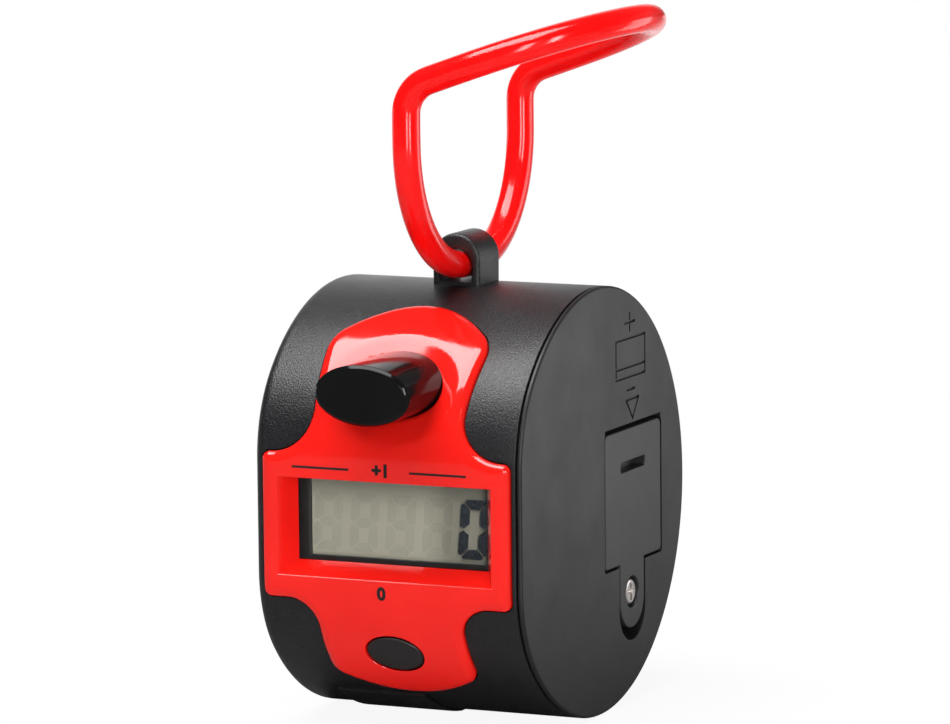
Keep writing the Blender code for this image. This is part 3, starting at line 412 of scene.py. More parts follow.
def slice_rows(piece: Piece, normal: Sequence[float], marks: Sequence[float]) -> None:
    """Cuts a piece's faces along parallel planes, so that it can bend there.

    Args:
        piece: what is cut.
        normal: the planes' direction.
        marks: how far along it each plane lies.
    """
    way = Vector(normal)
    with shaping(piece):
        for mark in marks:
            take_all()
            bpy.ops.mesh.bisect(plane_co=way * float(mark), plane_no=way, threshold=HAIR)


def stacked_plug(piece: Piece, levels: Sequence[Sequence[float]]) -> Piece:
    """Extrudes a flat face facing -Y level by level into a plug with flared walls.

    Args:
        piece: the flat face, whose box is the first level's.
        levels: (y, left, right, bottom, top) of each level, from the back to the front.

    Returns:
        The closed plug.
    """
    with shaping(piece):
        take_all()
        for before, after in zip(levels, levels[1:]):
            extrude((0, after[0] - before[0], 0))
            for axis, low, high in ((0, 1, 2), (2, 3, 4)):
                scale = (after[high] - after[low]) / (before[high] - before[low])
                if abs(scale - 1) < NOTHING:
                    continue
                pivot = [0.0, after[0], 0.0]
                pivot[axis] = (after[low] - before[low] * scale) / (1 - scale)
                value = [1.0, 1.0, 1.0]
                value[axis] = scale
                bpy.ops.transform.resize(value=value, center_override=pivot)
        turn_outwards()
    return piece


def rounded_lip(top: float, radius: float, steps: int) -> list[Point]:
    """The last levels of a plug that leaves a rounded lip round its opening.

    Args:
        top: how high the surface lies.
        radius: the lip's radius.
        steps: how many flats stand for it.

    Returns:
        (height, growth) of each level, the last one clear of the surface.
    """
    levels = []
    for i in range(steps + 1):
        turn = QUARTER * i / steps
        levels.append((top - radius * (1 - math.sin(turn)), radius * (1 - math.cos(turn))))
    return levels + [(top + OVERSHOOT, radius)]


def move_points(piece: Piece, change: Callable[[np.ndarray], np.ndarray]) -> None:
    """Moves every point of a piece by a rule.

    Args:
        piece: what is moved.
        change: gives the new array of x, y and z for the old one.
    """
    points = np.empty(len(piece.data.vertices) * 3, np.float32)
    piece.data.vertices.foreach_get("co", points)
    moved = change(points.reshape(-1, 3).astype(np.float64))
    piece.data.vertices.foreach_set("co", moved.astype(np.float32).ravel())
    piece.data.update()


def clean(piece: Piece, merge: float = 2 * SAME_PLACE) -> None:
    """Merges points that lie on each other and turns all faces outwards.

    Args:
        piece: what is cleaned.
        merge: how far apart such points may lie.
    """
    with shaping(piece):
        take_all()
        bpy.ops.mesh.remove_doubles(threshold=merge)
        turn_outwards()


def hand_over(
    piece: Piece,
    material: bpy.types.Material,
    body: Body,
    nodes: Sequence[str] = (),
    angle: float = SMOOTH_ANGLE,
    flat: bool = False,
) -> Piece:
    """Finishes a piece: smooth shading, its material, the body that it rides on, and hiding the model's
    nodes that it stands for.

    Args:
        piece: the finished mesh, its place in its points.
        material: what it is made of.
        body: what it rides on.
        nodes: the model's nodes that it stands for.
        angle: the sharpest fold that is shaded smooth.
        flat: whether its large faces are shaded flat, and only their rounded edges smooth.

    Returns:
        The piece.
    """
    activate(piece)
    piece.data.materials.clear()
    piece.data.materials.append(material)
    bpy.ops.object.shade_smooth_by_angle(angle=angle)
    if flat:
        weigh = piece.modifiers.new("weigh", "WEIGHTED_NORMAL")
        weigh.keep_sharp = True
        weigh.weight = 100
        bpy.ops.object.modifier_apply(modifier=weigh.name)
    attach(piece, body.value)
    if nodes:
        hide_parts(*nodes)
    log.info("%s: %d faces, on %s", piece.name, len(piece.data.polygons), body.value)
    return piece


class NodeBench:
    """Adds and links the nodes of one material, or of the world."""

    DOT_CORE: ClassVar[float] = 0.4

    def __init__(self, name: str, world: bpy.types.World | None = None) -> None:
        """Starts an empty material, or empties the world's nodes.

        Args:
            name: the material's name.
            world: the world to work on instead.
        """
        self.material = world or bpy.data.materials.new(name)
        self.material.use_nodes = True
        self.tree = self.material.node_tree
        self.tree.nodes.clear()
        self.output = self.tree.nodes.new("ShaderNodeOutputWorld" if world else "ShaderNodeOutputMaterial")
        self.place = self.add("ShaderNodeTexCoord").outputs["Object"]

    def add(self, kind: str, settings: dict | None = None, **inputs: object) -> bpy.types.Node:
        """Adds a node.

        Args:
            kind: the node's type.
            settings: the node's own properties.
            inputs: its sockets by name, with _ for a space, each a value or a socket to link.

        Returns:
            The node.
        """
        node = self.tree.nodes.new(kind)
        for key, value in (settings or {}).items():
            setattr(node, key, value)
        for key, value in inputs.items():
            socket = node.inputs[key.replace("_", " ")]
            if isinstance(value, Socket):
                self.tree.links.new(value, socket)
            else:
                socket.default_value = value
        return node

    def feed(self, node: bpy.types.Node, index: int, value: object) -> None:
        """Links a socket given by its place, or sets it.

        Args:
            node: the node that has it.
            index: its place among the node's inputs.
            value: a socket to link, or the value.
        """
        if isinstance(value, Socket):
            self.tree.links.new(value, node.inputs[index])
        else:
            node.inputs[index].default_value = value

    def noise(
        self, size: float, detail: float = 3.0, roughness: float = 0.55, stretch: Colour = (1, 1, 1)
    ) -> Socket:
        """A soft random pattern.

        Args:
            size: how large its features are.
            detail: how many finer layers it has.
            roughness: how strong they are.
            stretch: scale of the pattern along each axis.

        Returns:
            Its value, from 0 to 1.
        """
        source = self.place
        if stretch != (1, 1, 1):
            source = self.add("ShaderNodeMapping", Vector=self.place, Scale=stretch).outputs["Vector"]
        node = self.add(
            "ShaderNodeTexNoise", Vector=source, Scale=1 / size, Detail=detail, Roughness=roughness
        )
        return node.outputs["Fac"]

    def dots(self, spacing: float, radius: float) -> Socket:
        """Scattered round specks.

        Args:
            spacing: how far apart they lie.
            radius: how large each one is.

        Returns:
            A value that is 1 in the middle of each and 0 between them.
        """
        node = self.add("ShaderNodeTexVoronoi", Vector=self.place, Scale=1 / spacing)
        reach = radius / spacing
        return self.spread(node.outputs["Distance"], 1, 0, self.DOT_CORE * radius / spacing, reach)

    def spread(
        self, value: Socket, low: float, high: float, start: float = 0.3, end: float = 0.7
    ) -> Socket:
        """Maps a pattern's range onto another one.

        Args:
            value: the pattern.
            low: what start becomes.
            high: what end becomes.
            start: where the pattern's range starts.
            end: where it ends.

        Returns:
            The new pattern.
        """
        node = self.add(
            "ShaderNodeMapRange", Value=value, From_Min=start, From_Max=end, To_Min=low, To_Max=high
        )
        return node.outputs["Result"]

    def blend(self, share: Socket, first: Colour | Socket, second: Colour) -> Socket:
        """Mixes two colours by a pattern.

        Args:
            share: the second colour's share.
            first: a colour, or a socket that gives one.
            second: the other colour.

        Returns:
            The mixed colour.
        """
        node = self.add("ShaderNodeMix", {"data_type": "RGBA"})
        self.feed(node, 0, share)
        self.feed(node, 6, first if isinstance(first, Socket) else (*first, 1))
        self.feed(node, 7, (*second, 1))
        return node.outputs[2]

    def bump(self, height: Socket, depth: float, under: Socket | None = None) -> Socket:
        """Small relief from a pattern.

        Args:
            height: the pattern.
            depth: how deep its relief is.
            under: another relief that this one lies on.

        Returns:
            The relief's normal.
        """
        node = self.add("ShaderNodeBump", Height=height, Distance=depth, Strength=1.0)
        if under is not None:
            self.tree.links.new(under, node.inputs["Normal"])
        return node.outputs["Normal"]

    def math(self, operation: str, first: Socket, second: Socket) -> Socket:
        """Works out one number from two.

        Args:
            operation: the node's own word for it.
            first: the first number.
            second: the second number.

        Returns:
            The result.
        """
        node = self.add("ShaderNodeMath", {"operation": operation})
        self.feed(node, 0, first)
        self.feed(node, 1, second)
        return node.outputs["Value"]

    def mix(self, share: Socket, first: bpy.types.Node, second: bpy.types.Node) -> Socket:
        """Mixes two shaders.

        Args:
            share: the second one's share.
            first: the first shader's node.
            second: the second shader's node.

        Returns:
            The mixed shader.
        """
        node = self.add("ShaderNodeMixShader", Fac=share)
        self.feed(node, 1, first.outputs[0])
        self.feed(node, 2, second.outputs[0])
        return node.outputs["Shader"]

    def shows_backdrop(self, behind: Socket) -> Socket:
        """Where the white backdrop shows: to the camera, and in gloss and glass that face what is behind.

        Args:
            behind: 1 behind the object and 0 in front of it.

        Returns:
            1 where it shows.
        """
        path = self.add("ShaderNodeLightPath").outputs
        mirrored = self.math("MAXIMUM", path["Is Glossy Ray"], path["Is Transmission Ray"])
        return self.math("MAXIMUM", path["Is Camera Ray"], self.math("MULTIPLY", mirrored, behind))

    def finish(self, shader: Socket) -> bpy.types.Material:
        """Links the shader to the output and gives the material back."""
        self.tree.links.new(shader, self.output.inputs["Surface"])
        return self.material


@dataclass(frozen=True)
class SparkPlastic:
    """Moulded plastic with a fine spark-eroded texture, and painted glints: scattered bright dots in its
    colour that stand in for the sparkle of light off it.
    """

    name: str
    dark: Colour
    light: Colour
    roughness: tuple[float, float]
    grain: float
    grain_depth: float
    # The painted glint dots: how many times brighter than the light tone they are painted, how far apart
    # they lie, and how large they are.
    painted_glint: float = 5.0
    painted_glint_spacing: float = 0.62 * MM
    painted_glint_radius: float = 0.055 * MM
    cloud: float = 6 * MM
    speck_range: Point = (0.35, 0.75)

    def material(self) -> bpy.types.Material:
        """Builds the material.

        Returns:
            The material.
        """
        bench = NodeBench(self.name)
        cloud = bench.noise(self.cloud, detail=4)
        speck = bench.noise(self.grain, detail=2, roughness=0.6)
        fine = bench.noise(self.grain / 3, detail=1)
        colour = bench.blend(bench.spread(speck, 0, 1, *self.speck_range), self.dark, self.light)
        # Painted highlights: bright dots in the base colour stand in for glints of light off the spark
        # texture.
        painted_glint = bench.dots(self.painted_glint_spacing, self.painted_glint_radius)
        colour = bench.blend(painted_glint, colour, tuple(self.painted_glint * part for part in self.light))
        relief = bench.bump(speck, self.grain_depth)
        shader = bench.add(
            "ShaderNodeBsdfPrincipled",
            Base_Color=colour,
            Roughness=bench.spread(cloud, *self.roughness),
            Normal=bench.bump(fine, self.grain_depth / 4, under=relief),
        )
        return bench.finish(shader.outputs["BSDF"])


@dataclass(frozen=True)
class GlossPlastic:
    """Polished plastic with the faint waviness and haze of a moulding that has been handled."""

    name: str
    colour: Colour
    deep: Colour
    roughness: tuple[float, float]
    wave: float
    wave_depth: float
    specular: float = 0.5
    cloud: float = 9 * MM
    haze: float = 1.2 * MM

    def material(self) -> bpy.types.Material:
        """Builds the material.

        Returns:
            The material.
        """
        bench = NodeBench(self.name)
        cloud = bench.noise(self.cloud, detail=3)
        haze = bench.noise(self.haze, detail=5, roughness=0.7)
        shader = bench.add(
            "ShaderNodeBsdfPrincipled",
            Base_Color=bench.blend(bench.spread(cloud, 0, 1), self.colour, self.deep),
            Roughness=bench.spread(haze, *self.roughness),
            Normal=bench.bump(bench.noise(self.wave, detail=1), self.wave_depth),
            Specular_IOR_Level=self.specular,
        )
        return bench.finish(shader.outputs["BSDF"])


@dataclass(frozen=True)
class ClearSheet:
    """A clear sheet that shows what is behind it and mirrors a little, more at a slant."""

    name: str
    tint: Colour
    roughness: float
    mirror: tuple[float, float]
    smear: float = 4 * MM
    smear_strength: float = 2.2
    slant_blend: float = 0.25

    def material(self) -> bpy.types.Material:
        """Builds the material.

        Returns:
            The material.
        """
        bench = NodeBench(self.name)
        smear = bench.noise(self.smear, detail=4, roughness=0.6)
        rough = bench.spread(smear, self.roughness, self.roughness * self.smear_strength)
        slant = bench.add("ShaderNodeLayerWeight", Blend=self.slant_blend).outputs["Facing"]
        mirror = bench.spread(slant, *self.mirror, 0.0, 1.0)
        through = bench.add("ShaderNodeBsdfTransparent", Color=(*self.tint, 1))
        gloss = bench.add("ShaderNodeBsdfGlossy", Roughness=rough)
        return bench.finish(bench.mix(mirror, through, gloss))


@dataclass(frozen=True)
class LiquidCrystal:
    """A display segment: nearly opaque when it is on, and a faint grey when it is off."""

    name: str
    colour: Colour
    cover: float
    grain: float = 0.9 * MM
    thinnest: float = 0.85
    thickest: float = 1.1

    def material(self) -> bpy.types.Material:
        """Builds the material.

        Returns:
            The material.
        """
        bench = NodeBench(self.name)
        grain = bench.noise(self.grain, detail=2)
        uneven = bench.spread(grain, self.cover * self.thinnest, min(1.0, self.cover * self.thickest))
        through = bench.add("ShaderNodeBsdfTransparent")
        ink = bench.add("ShaderNodeBsdfDiffuse", Color=(*self.colour, 1))
        return bench.finish(bench.mix(uneven, through, ink))


@dataclass(frozen=True)
class PlainSurface:
    """A dull or metallic part inside the housing, with fine unevenness."""

    name: str
    first: Colour
    second: Colour
    roughness: tuple[float, float]
    size: float
    metallic: float = 0.0
    stretch: Colour = (1, 1, 1)
    depth: float = 0.004 * MM

    def material(self) -> bpy.types.Material:
        """Builds the material.

        Returns:
            The material.
        """
        bench = NodeBench(self.name)
        pattern = bench.noise(self.size, detail=4, stretch=self.stretch)
        colour = bench.blend(bench.spread(pattern, 0, 1), self.first, self.second)
        shader = bench.add(
            "ShaderNodeBsdfPrincipled",
            Base_Color=colour,
            Roughness=bench.spread(pattern, *self.roughness),
            Metallic=self.metallic,
            Normal=bench.bump(pattern, self.depth),
        )
        return bench.finish(shader.outputs["BSDF"])


HOUSING_BLACK = SparkPlastic(
    "housing_black",
    dark=(0.007, 0.007, 0.008),
    light=(0.016, 0.016, 0.018),
    roughness=(0.285, 0.36),
    grain=0.17 * MM,
    grain_depth=0.055 * MM,
)
CAP_BLACK = SparkPlastic(
    "cap_black",
    dark=(0.007, 0.007, 0.008),
    light=(0.011, 0.011, 0.012),
    roughness=(0.42, 0.52),
    grain=0.12 * MM,
    grain_depth=0.010 * MM,
    painted_glint=2.0,
)
DOOR_BLACK = SparkPlastic(
    "door_black",
    dark=(0.016, 0.016, 0.018),
    light=(0.024, 0.024, 0.026),
    roughness=(0.36, 0.44),
    grain=0.12 * MM,
    grain_depth=0.006 * MM,
    painted_glint=2.0,
)
FACE_RED = GlossPlastic(
    "face_red",
    colour=(0.80, 0.012, 0.0075),
    deep=(0.74, 0.0095, 0.006),
    roughness=(0.07, 0.13),
    wave=3.5 * MM,
    wave_depth=0.010 * MM,
    specular=0.6,
)
RING_RED = GlossPlastic(
    "ring_red",
    colour=(0.92, 0.004, 0.004),
    deep=(0.84, 0.003, 0.003),
    roughness=(0.10, 0.18),
    wave=2.0 * MM,
    wave_depth=0.012 * MM,
)
BUTTON_BLACK = GlossPlastic(
    "button_black",
    colour=(0.0035, 0.0035, 0.0038),
    deep=(0.006, 0.006, 0.006),
    roughness=(0.09, 0.15),
    wave=3.0 * MM,
    wave_depth=0.006 * MM,
    specular=0.18,
)
RESET_BLACK = GlossPlastic(
    "reset_black",
    colour=(0.012, 0.011, 0.011),
    deep=(0.016, 0.015, 0.015),
    roughness=(0.34, 0.42),
    wave=2.0 * MM,
    wave_depth=0.004 * MM,
)
PRINT_BLACK = PlainSurface(
    "print_black", (0.006, 0.004, 0.004), (0.012, 0.008, 0.008), roughness=(0.7, 0.85), size=0.3 * MM
)
STEEL = PlainSurface(
    "plated_steel",
    (0.62, 0.58, 0.56),
    (0.78, 0.74, 0.72),
    roughness=(0.28, 0.36),
    size=0.6 * MM,
    metallic=1.0,
    depth=0.003 * MM,
)
BOARD_GREEN = PlainSurface(
    "board_green", (0.02, 0.13, 0.045), (0.04, 0.19, 0.07), roughness=(0.32, 0.5), size=1.5 * MM
)
RESIN_BLACK = PlainSurface(
    "resin_black", (0.010, 0.010, 0.010), (0.020, 0.020, 0.020), roughness=(0.22, 0.4), size=0.8 * MM
)
CERAMIC_BROWN = PlainSurface(
    "ceramic", (0.36, 0.25, 0.14), (0.46, 0.34, 0.21), roughness=(0.4, 0.6), size=0.3 * MM
)
LAYERED_RUBBER = PlainSurface(
    "connector_rubber",
    (0.34, 0.30, 0.29),
    (0.66, 0.62, 0.60),
    roughness=(0.6, 0.8),
    size=0.2 * MM,
    stretch=(4, 0.2, 0.2),
)
REFLECTOR_FILM = PlainSurface(
    "reflector_film",
    (0.90, 0.86, 0.69),
    (0.96, 0.92, 0.75),
    roughness=(0.5, 0.65),
    size=5 * MM,
    depth=0.001 * MM,
)
FRAME_BLACK = PlainSurface(
    "display_frame", (0.006, 0.006, 0.007), (0.012, 0.012, 0.013), roughness=(0.4, 0.55), size=0.8 * MM
)
LENS_CLEAR = ClearSheet("lens_clear", tint=(0.998, 0.998, 0.99), roughness=0.02, mirror=(0.015, 0.35))
DISPLAY_GLASS = ClearSheet("display_glass", tint=(0.998, 0.998, 0.995), roughness=0.04, mirror=(0.002, 0.15))
SEGMENT_ON = LiquidCrystal("segment_on", colour=(0.020, 0.030, 0.045), cover=0.92)
SEGMENT_OFF = LiquidCrystal("segment_off", colour=(0.16, 0.18, 0.14), cover=0.05)


@dataclass(frozen=True)
class DrumSurface:
    """The drum's D-shaped section: a round with a narrow flat at the front, blended into it."""

    radius: float = 21.5 * MM
    flat: float = 19.4 * MM
    blend: float = 13.0 * MM
    width: float = 28.85 * MM
    reference: float = 0.75 * MM
    step: float = math.radians(2)

    @property
    def centre_y(self) -> float:
        """Where the blend's centre lies in front of the drum's axis."""
        return self.flat - self.blend

    @property
    def centre_z(self) -> float:
        """How high the blend's centre lies, which is half of the flat."""
        return math.sqrt((self.radius - self.blend) ** 2 - self.centre_y**2)

    @property
    def turn(self) -> float:
        """Where the blend ends, round the drum from the front."""
        return math.atan2(self.centre_z, self.centre_y)

    @property
    def middle(self) -> float:
        """The drum's middle along its axis."""
        return self.width / 2

    def section(self, grow: float = 0.0) -> list[Arc]:
        """The section's outline in y and z, moved outwards by grow.

        Args:
            grow: how far it is moved.

        Returns:
            Its runs, anticlockwise.
        """
        away = math.pi - self.turn
        return [
            Arc((0, 0), self.radius + grow, -away, away),
            Arc((-self.centre_y, self.centre_z), self.blend + grow, away, math.pi),
            Arc((-self.centre_y, -self.centre_z), self.blend + grow, math.pi, math.pi + self.turn),
        ]

    def prism(self, name: str, grow: float, low: float, high: float) -> Piece:
        """A solid of the drum's section from one end to the other."""
        face = draw_face(name, self.section(grow), Facing.END, low, self.step)
        return thicken(face, (high - low, 0, 0))

    def unroll(self, points: np.ndarray) -> np.ndarray:
        """Turns heights into distances round the reference surface, each at its own lift of -y.

        Args:
            points: an array of x, y and z.

        Returns:
            The points of the flat pattern.
        """
        lift, height = -points[:, 1], np.abs(points[:, 2])
        bow = self.blend + self.reference
        blend_turn = np.arcsin(np.clip((height - self.centre_z) / (self.blend + lift), -1, 1))
        round_turn = np.arcsin(np.clip(height / (self.radius + lift), -1, 1))
        far = self.centre_z + bow * self.turn + (self.radius + self.reference) * (round_turn - self.turn)
        near = self.centre_z + bow * blend_turn
        away = np.where(height <= self.centre_z, height, np.where(blend_turn <= self.turn, near, far))
        return np.column_stack([points[:, 0], points[:, 1], np.copysign(away, points[:, 2])])

    def wrap(self, points: np.ndarray) -> np.ndarray:
        """Bends a flat pattern round the drum: -y is its lift off the drum, and z the distance round it.

        Args:
            points: the flat pattern's points.

        Returns:
            The bent points.
        """
        lift, away = -points[:, 1], np.abs(points[:, 2])
        near, far = self.blend + lift, self.radius + lift
        bow = self.blend + self.reference
        blend_turn = (away - self.centre_z) / bow
        round_turn = self.turn + (away - self.centre_z - bow * self.turn) / (self.radius + self.reference)
        on_flat, on_blend = away <= self.centre_z, blend_turn <= self.turn
        y = np.where(on_blend, -self.centre_y - near * np.cos(blend_turn), -far * np.cos(round_turn))
        z = np.where(on_blend, self.centre_z + near * np.sin(blend_turn), far * np.sin(round_turn))
        y = np.where(on_flat, -(self.flat + lift), y)
        z = np.where(on_flat, away, z)
        return np.column_stack([points[:, 0], y, np.copysign(z, points[:, 2])])


DRUM = DrumSurface()


@dataclass(frozen=True)
class Opening:
    """An elliptical opening for a button: its height, its half sizes and the free space round the button."""

    height: float
    half_width: float
    half_height: float
    gap: float = 0.14 * MM
    sides: int = 112

    def cutter(self, name: str, levels: Sequence[Point]) -> Piece:
        """A plug in the shape of the opening.

        Args:
            name: the cutter's name.
            levels: (height along -Y, further growth) of each level, from the back to the front.

        Returns:
            The plug, straight along Y.
        """
        boxes = []
        for lift, grow in levels:
            wide, high = self.half_width + self.gap + grow, self.half_height + self.gap + grow
            left, right = DRUM.middle - wide, DRUM.middle + wide
            boxes.append((-lift, left, right, self.height - high, self.height + high))
        back, left, right, bottom, top = boxes[0]
        bpy.ops.mesh.primitive_circle_add(
            vertices=self.sides,
            radius=1,
            fill_type="NGON",
            location=(DRUM.middle, back, self.height),
            rotation=(QUARTER, 0, 0),
        )
        bpy.context.object.scale = ((right - left) / 2, (top - bottom) / 2, 1)
        return stacked_plug(settle(name), boxes)


COUNT_OPENING = Opening(13.297 * MM, 5.05 * MM, 3.05 * MM)
RESET_OPENING = Opening(-13.172 * MM, 3.0 * MM, 1.8 * MM)


@dataclass
class FaceOutline:
    """The face plate's outline from the front: a panel with a lobe for a button above and one below."""

    panel_half: float = 13.25 * MM
    panel_top: float = 6.6 * MM
    panel_bottom: float = 8.0 * MM
    panel_corner: float = 0.8 * MM
    crown_top: float = 20.45 * MM
    crown: float = 14.5 * MM
    upper_half: float = 8.5 * MM
    upper_corner: float = 2.0 * MM
    neck_half: float = 8.0 * MM
    upper_fillet: float = 4.4 * MM
    flare: float = math.radians(5.3)
    foot: float = 18.046 * MM
    sole: float = 15.0 * MM
    lower_half: float = 7.75 * MM
    lower_corner: float = 1.5 * MM
    lower_fillet: float = 3.1 * MM
    step: float = math.radians(5)

    def right_side(self) -> list[Arc]:
        """The runs to the right of the middle, from its foot up to its crown.

        Returns:
            The runs, anticlockwise, with x from the drum's middle.
        """
        crown_z = self.crown_top - self.crown
        corner_x = self.upper_half - self.upper_corner
        corner_z = crown_z + math.sqrt((self.crown - self.upper_corner) ** 2 - corner_x**2)
        crown_turn = math.atan2(corner_z - crown_z, corner_x)
        sole_z = self.sole - self.foot
        toe_x = self.lower_half - self.lower_corner
        toe_z = sole_z - math.sqrt((self.sole - self.lower_corner) ** 2 - toe_x**2)
        sole_turn = math.atan2(toe_z - sole_z, toe_x)
        panel_x = self.panel_half - self.panel_corner
        lower_nook = (self.lower_half + self.lower_fillet, -self.panel_bottom - self.lower_fillet)
        upper_nook = (self.neck_half + self.upper_fillet, self.panel_top + self.upper_fillet)
        return [
            Arc((0, sole_z), self.sole, -QUARTER, sole_turn),
            Arc((toe_x, toe_z), self.lower_corner, sole_turn, 0),
            Arc(lower_nook, self.lower_fillet, math.pi, QUARTER),
            Arc((panel_x, self.panel_corner - self.panel_bottom), self.panel_corner, -QUARTER, 0),
            Arc((panel_x, self.panel_top - self.panel_corner), self.panel_corner, 0, QUARTER),
            Arc(upper_nook, self.upper_fillet, -QUARTER, -math.pi - self.flare),
            Arc((corner_x, corner_z), self.upper_corner, -self.flare, crown_turn),
            Arc((0, crown_z), self.crown, crown_turn, QUARTER),
        ]

    def arcs(self) -> list[Arc]:
        """The outline's runs, anticlockwise from the middle of its foot.

        Returns:
            The runs.
        """
        right = self.right_side()
        left = [arc.mirrored() for arc in reversed(right)]
        return [arc.shifted(DRUM.middle) for arc in right + left]

    def pattern(self, name: str, low: float) -> Piece:
        """The outline as a flat face, unrolled off the drum.

        Args:
            name: the new piece's name.
            low: how far the face is lifted off the drum.

        Returns:
            The face.
        """
        piece = draw_face(name, self.arcs(), Facing.FRONT, -DRUM.reference, self.step)
        move_points(piece, DRUM.unroll)
        move_points(piece, lambda points: points + [0, DRUM.reference - low, 0])
        return piece


def shrink(outline: np.ndarray, width: float) -> np.ndarray:
    """Moves a closed outline inwards, and lets runs that would turn back meet in one corner.

    Args:
        outline: its points, anticlockwise.
        width: how far each side moves.

    Returns:
        As many points as before.
    """
    along = np.roll(outline, -1, axis=0) - outline
    along /= np.linalg.norm(along, axis=1)[:, None]
    inward = np.column_stack([-along[:, 1], along[:, 0]])
    count = len(outline)
    gone = np.zeros(count, bool)
    while True:
        kept = np.flatnonzero(~gone)
        moved = np.empty_like(outline)
        for i in range(count):
            at = np.searchsorted(kept, i)
            before, after = kept[at - 1], kept[at % len(kept)]
            first, second = outline[before] + width * inward[before], outline[after] + width * inward[after]
            if (before + 1) % count == after:
                both = inward[before] + inward[after]
                moved[i] = outline[i] + width * both / (1 + inward[before] @ inward[after])
                continue
            cross = along[before][0] * along[after][1] - along[before][1] * along[after][0]
            gap = second - first
            moved[i] = first + along[before] * (gap[0] * along[after][1] - gap[1] * along[after][0]) / cross
        step = np.roll(moved, -1, axis=0) - moved
        turned = ((step * along).sum(axis=1) < -NOTHING) & ~gone
        if not turned.any():
            return moved
        gone |= turned


@dataclass
class FacePlate:
    """The glossy plate round the front, with the window, a dish round the count button and both holes."""

    outline: FaceOutline = field(default_factory=FaceOutline)
    sunk: float = 0.5 * MM
    proud: float = 0.75 * MM
    edge_width: float = 1.15 * MM
    edge_height: float = 0.70 * MM
    edge_steps: int = 9
    dish_half_width: float = 6.9 * MM
    dish_half_height: float = 6.1 * MM
    dish_depth: float = 0.95 * MM
    hole_round: float = 0.12 * MM
    window_half: float = 11.5 * MM
    window_top: float = 4.15 * MM
    window_bottom: float = 5.6 * MM
    window_depth: float = 2.25 * MM
    window_draft: float = 1.3 * MM
    window_top_draft: float = 0.1 * MM
    window_round: float = 0.07 * MM
    frame_wall: float = 1.0 * MM
    frame_root: float = 0.1 * MM
    dish_soft: float = 0.035
    row: float = 0.4 * MM
    column: float = 0.6 * MM
    pocket_gap: float = 0.15 * MM
    pocket_row: float = 0.8 * MM
    smooth: float = math.radians(28)

    LOWEST_ROW: ClassVar[float] = -24 * MM
    HIGHEST_ROW: ClassVar[float] = 27 * MM
    COLUMNS: ClassVar[Point] = (0.4, 28.6)  # millimetres

    def rows(self, pitch: float) -> np.ndarray:
        """The heights at which the flat pattern is cut so that it can bend."""
        return np.arange(self.LOWEST_ROW / MM, self.HIGHEST_ROW / MM, pitch / MM) * MM

    def window_cutter(self) -> Piece:
        """The tapered opening of the window, with a rounded lip.

        Returns:
            The closed cutter.
        """
        start = (self.proud - 1.5 * self.window_depth, 0.0)
        boxes = []
        for lift, grow in [start] + rounded_lip(self.proud, self.window_round, 4):
            depth = (self.proud - lift) / self.window_depth
            side = self.window_half - self.window_draft * depth + grow
            bottom = -self.window_bottom + self.window_draft * depth - grow
            top = self.window_top - self.window_top_draft * depth + grow
            boxes.append((-lift, DRUM.middle - side, DRUM.middle + side, bottom, top))
        back, left, right, bottom, top = boxes[0]
        corners = [Arc(corner) for corner in ((left, bottom), (right, bottom), (right, top), (left, top))]
        return stacked_plug(draw_face("window_cutter", corners, Facing.FRONT, back), boxes)

    def hole_cutter(self, opening: Opening) -> Piece:
        """A button's hole, straight along Y on the finished plate, with a rounded rim.

        Args:
            opening: the button's opening.

        Returns:
            The closed cutter, for the flat pattern.
        """
        start = [(-self.sunk - OVERSHOOT, 0.0), (0.0, 0.0)]
        plug = opening.cutter("hole_cutter", start + rounded_lip(self.proud, self.hole_round, 3))
        move_points(plug, DRUM.unroll)
        return plug

    def sink_dish(self, points: np.ndarray) -> np.ndarray:
        """Lowers the plate's outer skin into a soft dish round the count button.

        Args:
            points: the flat plate's points.

        Returns:
            The points with the dish.
        """
        middle = DRUM.unroll(np.array([[DRUM.middle, -self.proud, COUNT_OPENING.height]]))[0]
        right = (points[:, 0] - middle[0]) / self.dish_half_width
        up = (points[:, 2] - middle[2]) / self.dish_half_height
        bowl, soft = 1 - np.hypot(right, up) ** 2, self.dish_soft
        bowl = 0.5 * (bowl + np.sqrt(bowl**2 + soft**2)) - 0.5 * soft**2 / (np.abs(bowl) + soft)
        share = np.clip(-points[:, 1] / self.proud, 0, 1)
        moved = points.copy()
        moved[:, 1] += self.dish_depth * np.clip(bowl, 0, None) * share
        return moved

    def round_edge(self, plate: Piece) -> None:
        """Extrudes the outer face step by step and draws it in, into a rounded edge.

        Args:
            plate: the flat plate.
        """
        with shaping(plate) as mesh:
            pick_faces(plate, facing((0, -1, 0)))
            outline = np.array([(vert.co.x, vert.co.z) for vert in self.outer_face(mesh).verts])
            lift = 0.0
            for i in range(1, self.edge_steps + 1):
                turn = QUARTER * i / self.edge_steps
                rise = self.edge_height * math.sin(turn) - lift
                lift += rise
                extrude((0, -rise, 0))
                ring = shrink(outline, self.edge_width * (1 - math.cos(turn)))
                for vert, (x, z) in zip(self.outer_face(mesh).verts, ring):
                    vert.co.x, vert.co.z = x, z
                bmesh.update_edit_mesh(plate.data)
            take_all()
            bpy.ops.mesh.remove_doubles(threshold=SAME_PLACE)

    def outer_face(self, mesh: bmesh.types.BMesh) -> bmesh.types.BMFace:
        """The selected face of the open plate."""
        return next(face for face in mesh.faces if face.select)

    def window_frame(self) -> Piece:
        """The frame behind the window, which its flared walls are cut through.

        Returns:
            A solid block in the flat pattern.
        """
        half = self.window_half - self.window_draft + self.frame_wall
        low = -self.window_bottom + self.window_draft - self.frame_wall
        high = self.window_top - self.window_top_draft + self.frame_wall
        back = self.window_depth - self.proud
        return block("frame", (DRUM.middle - half, -self.frame_root, low), (DRUM.middle + half, back, high))

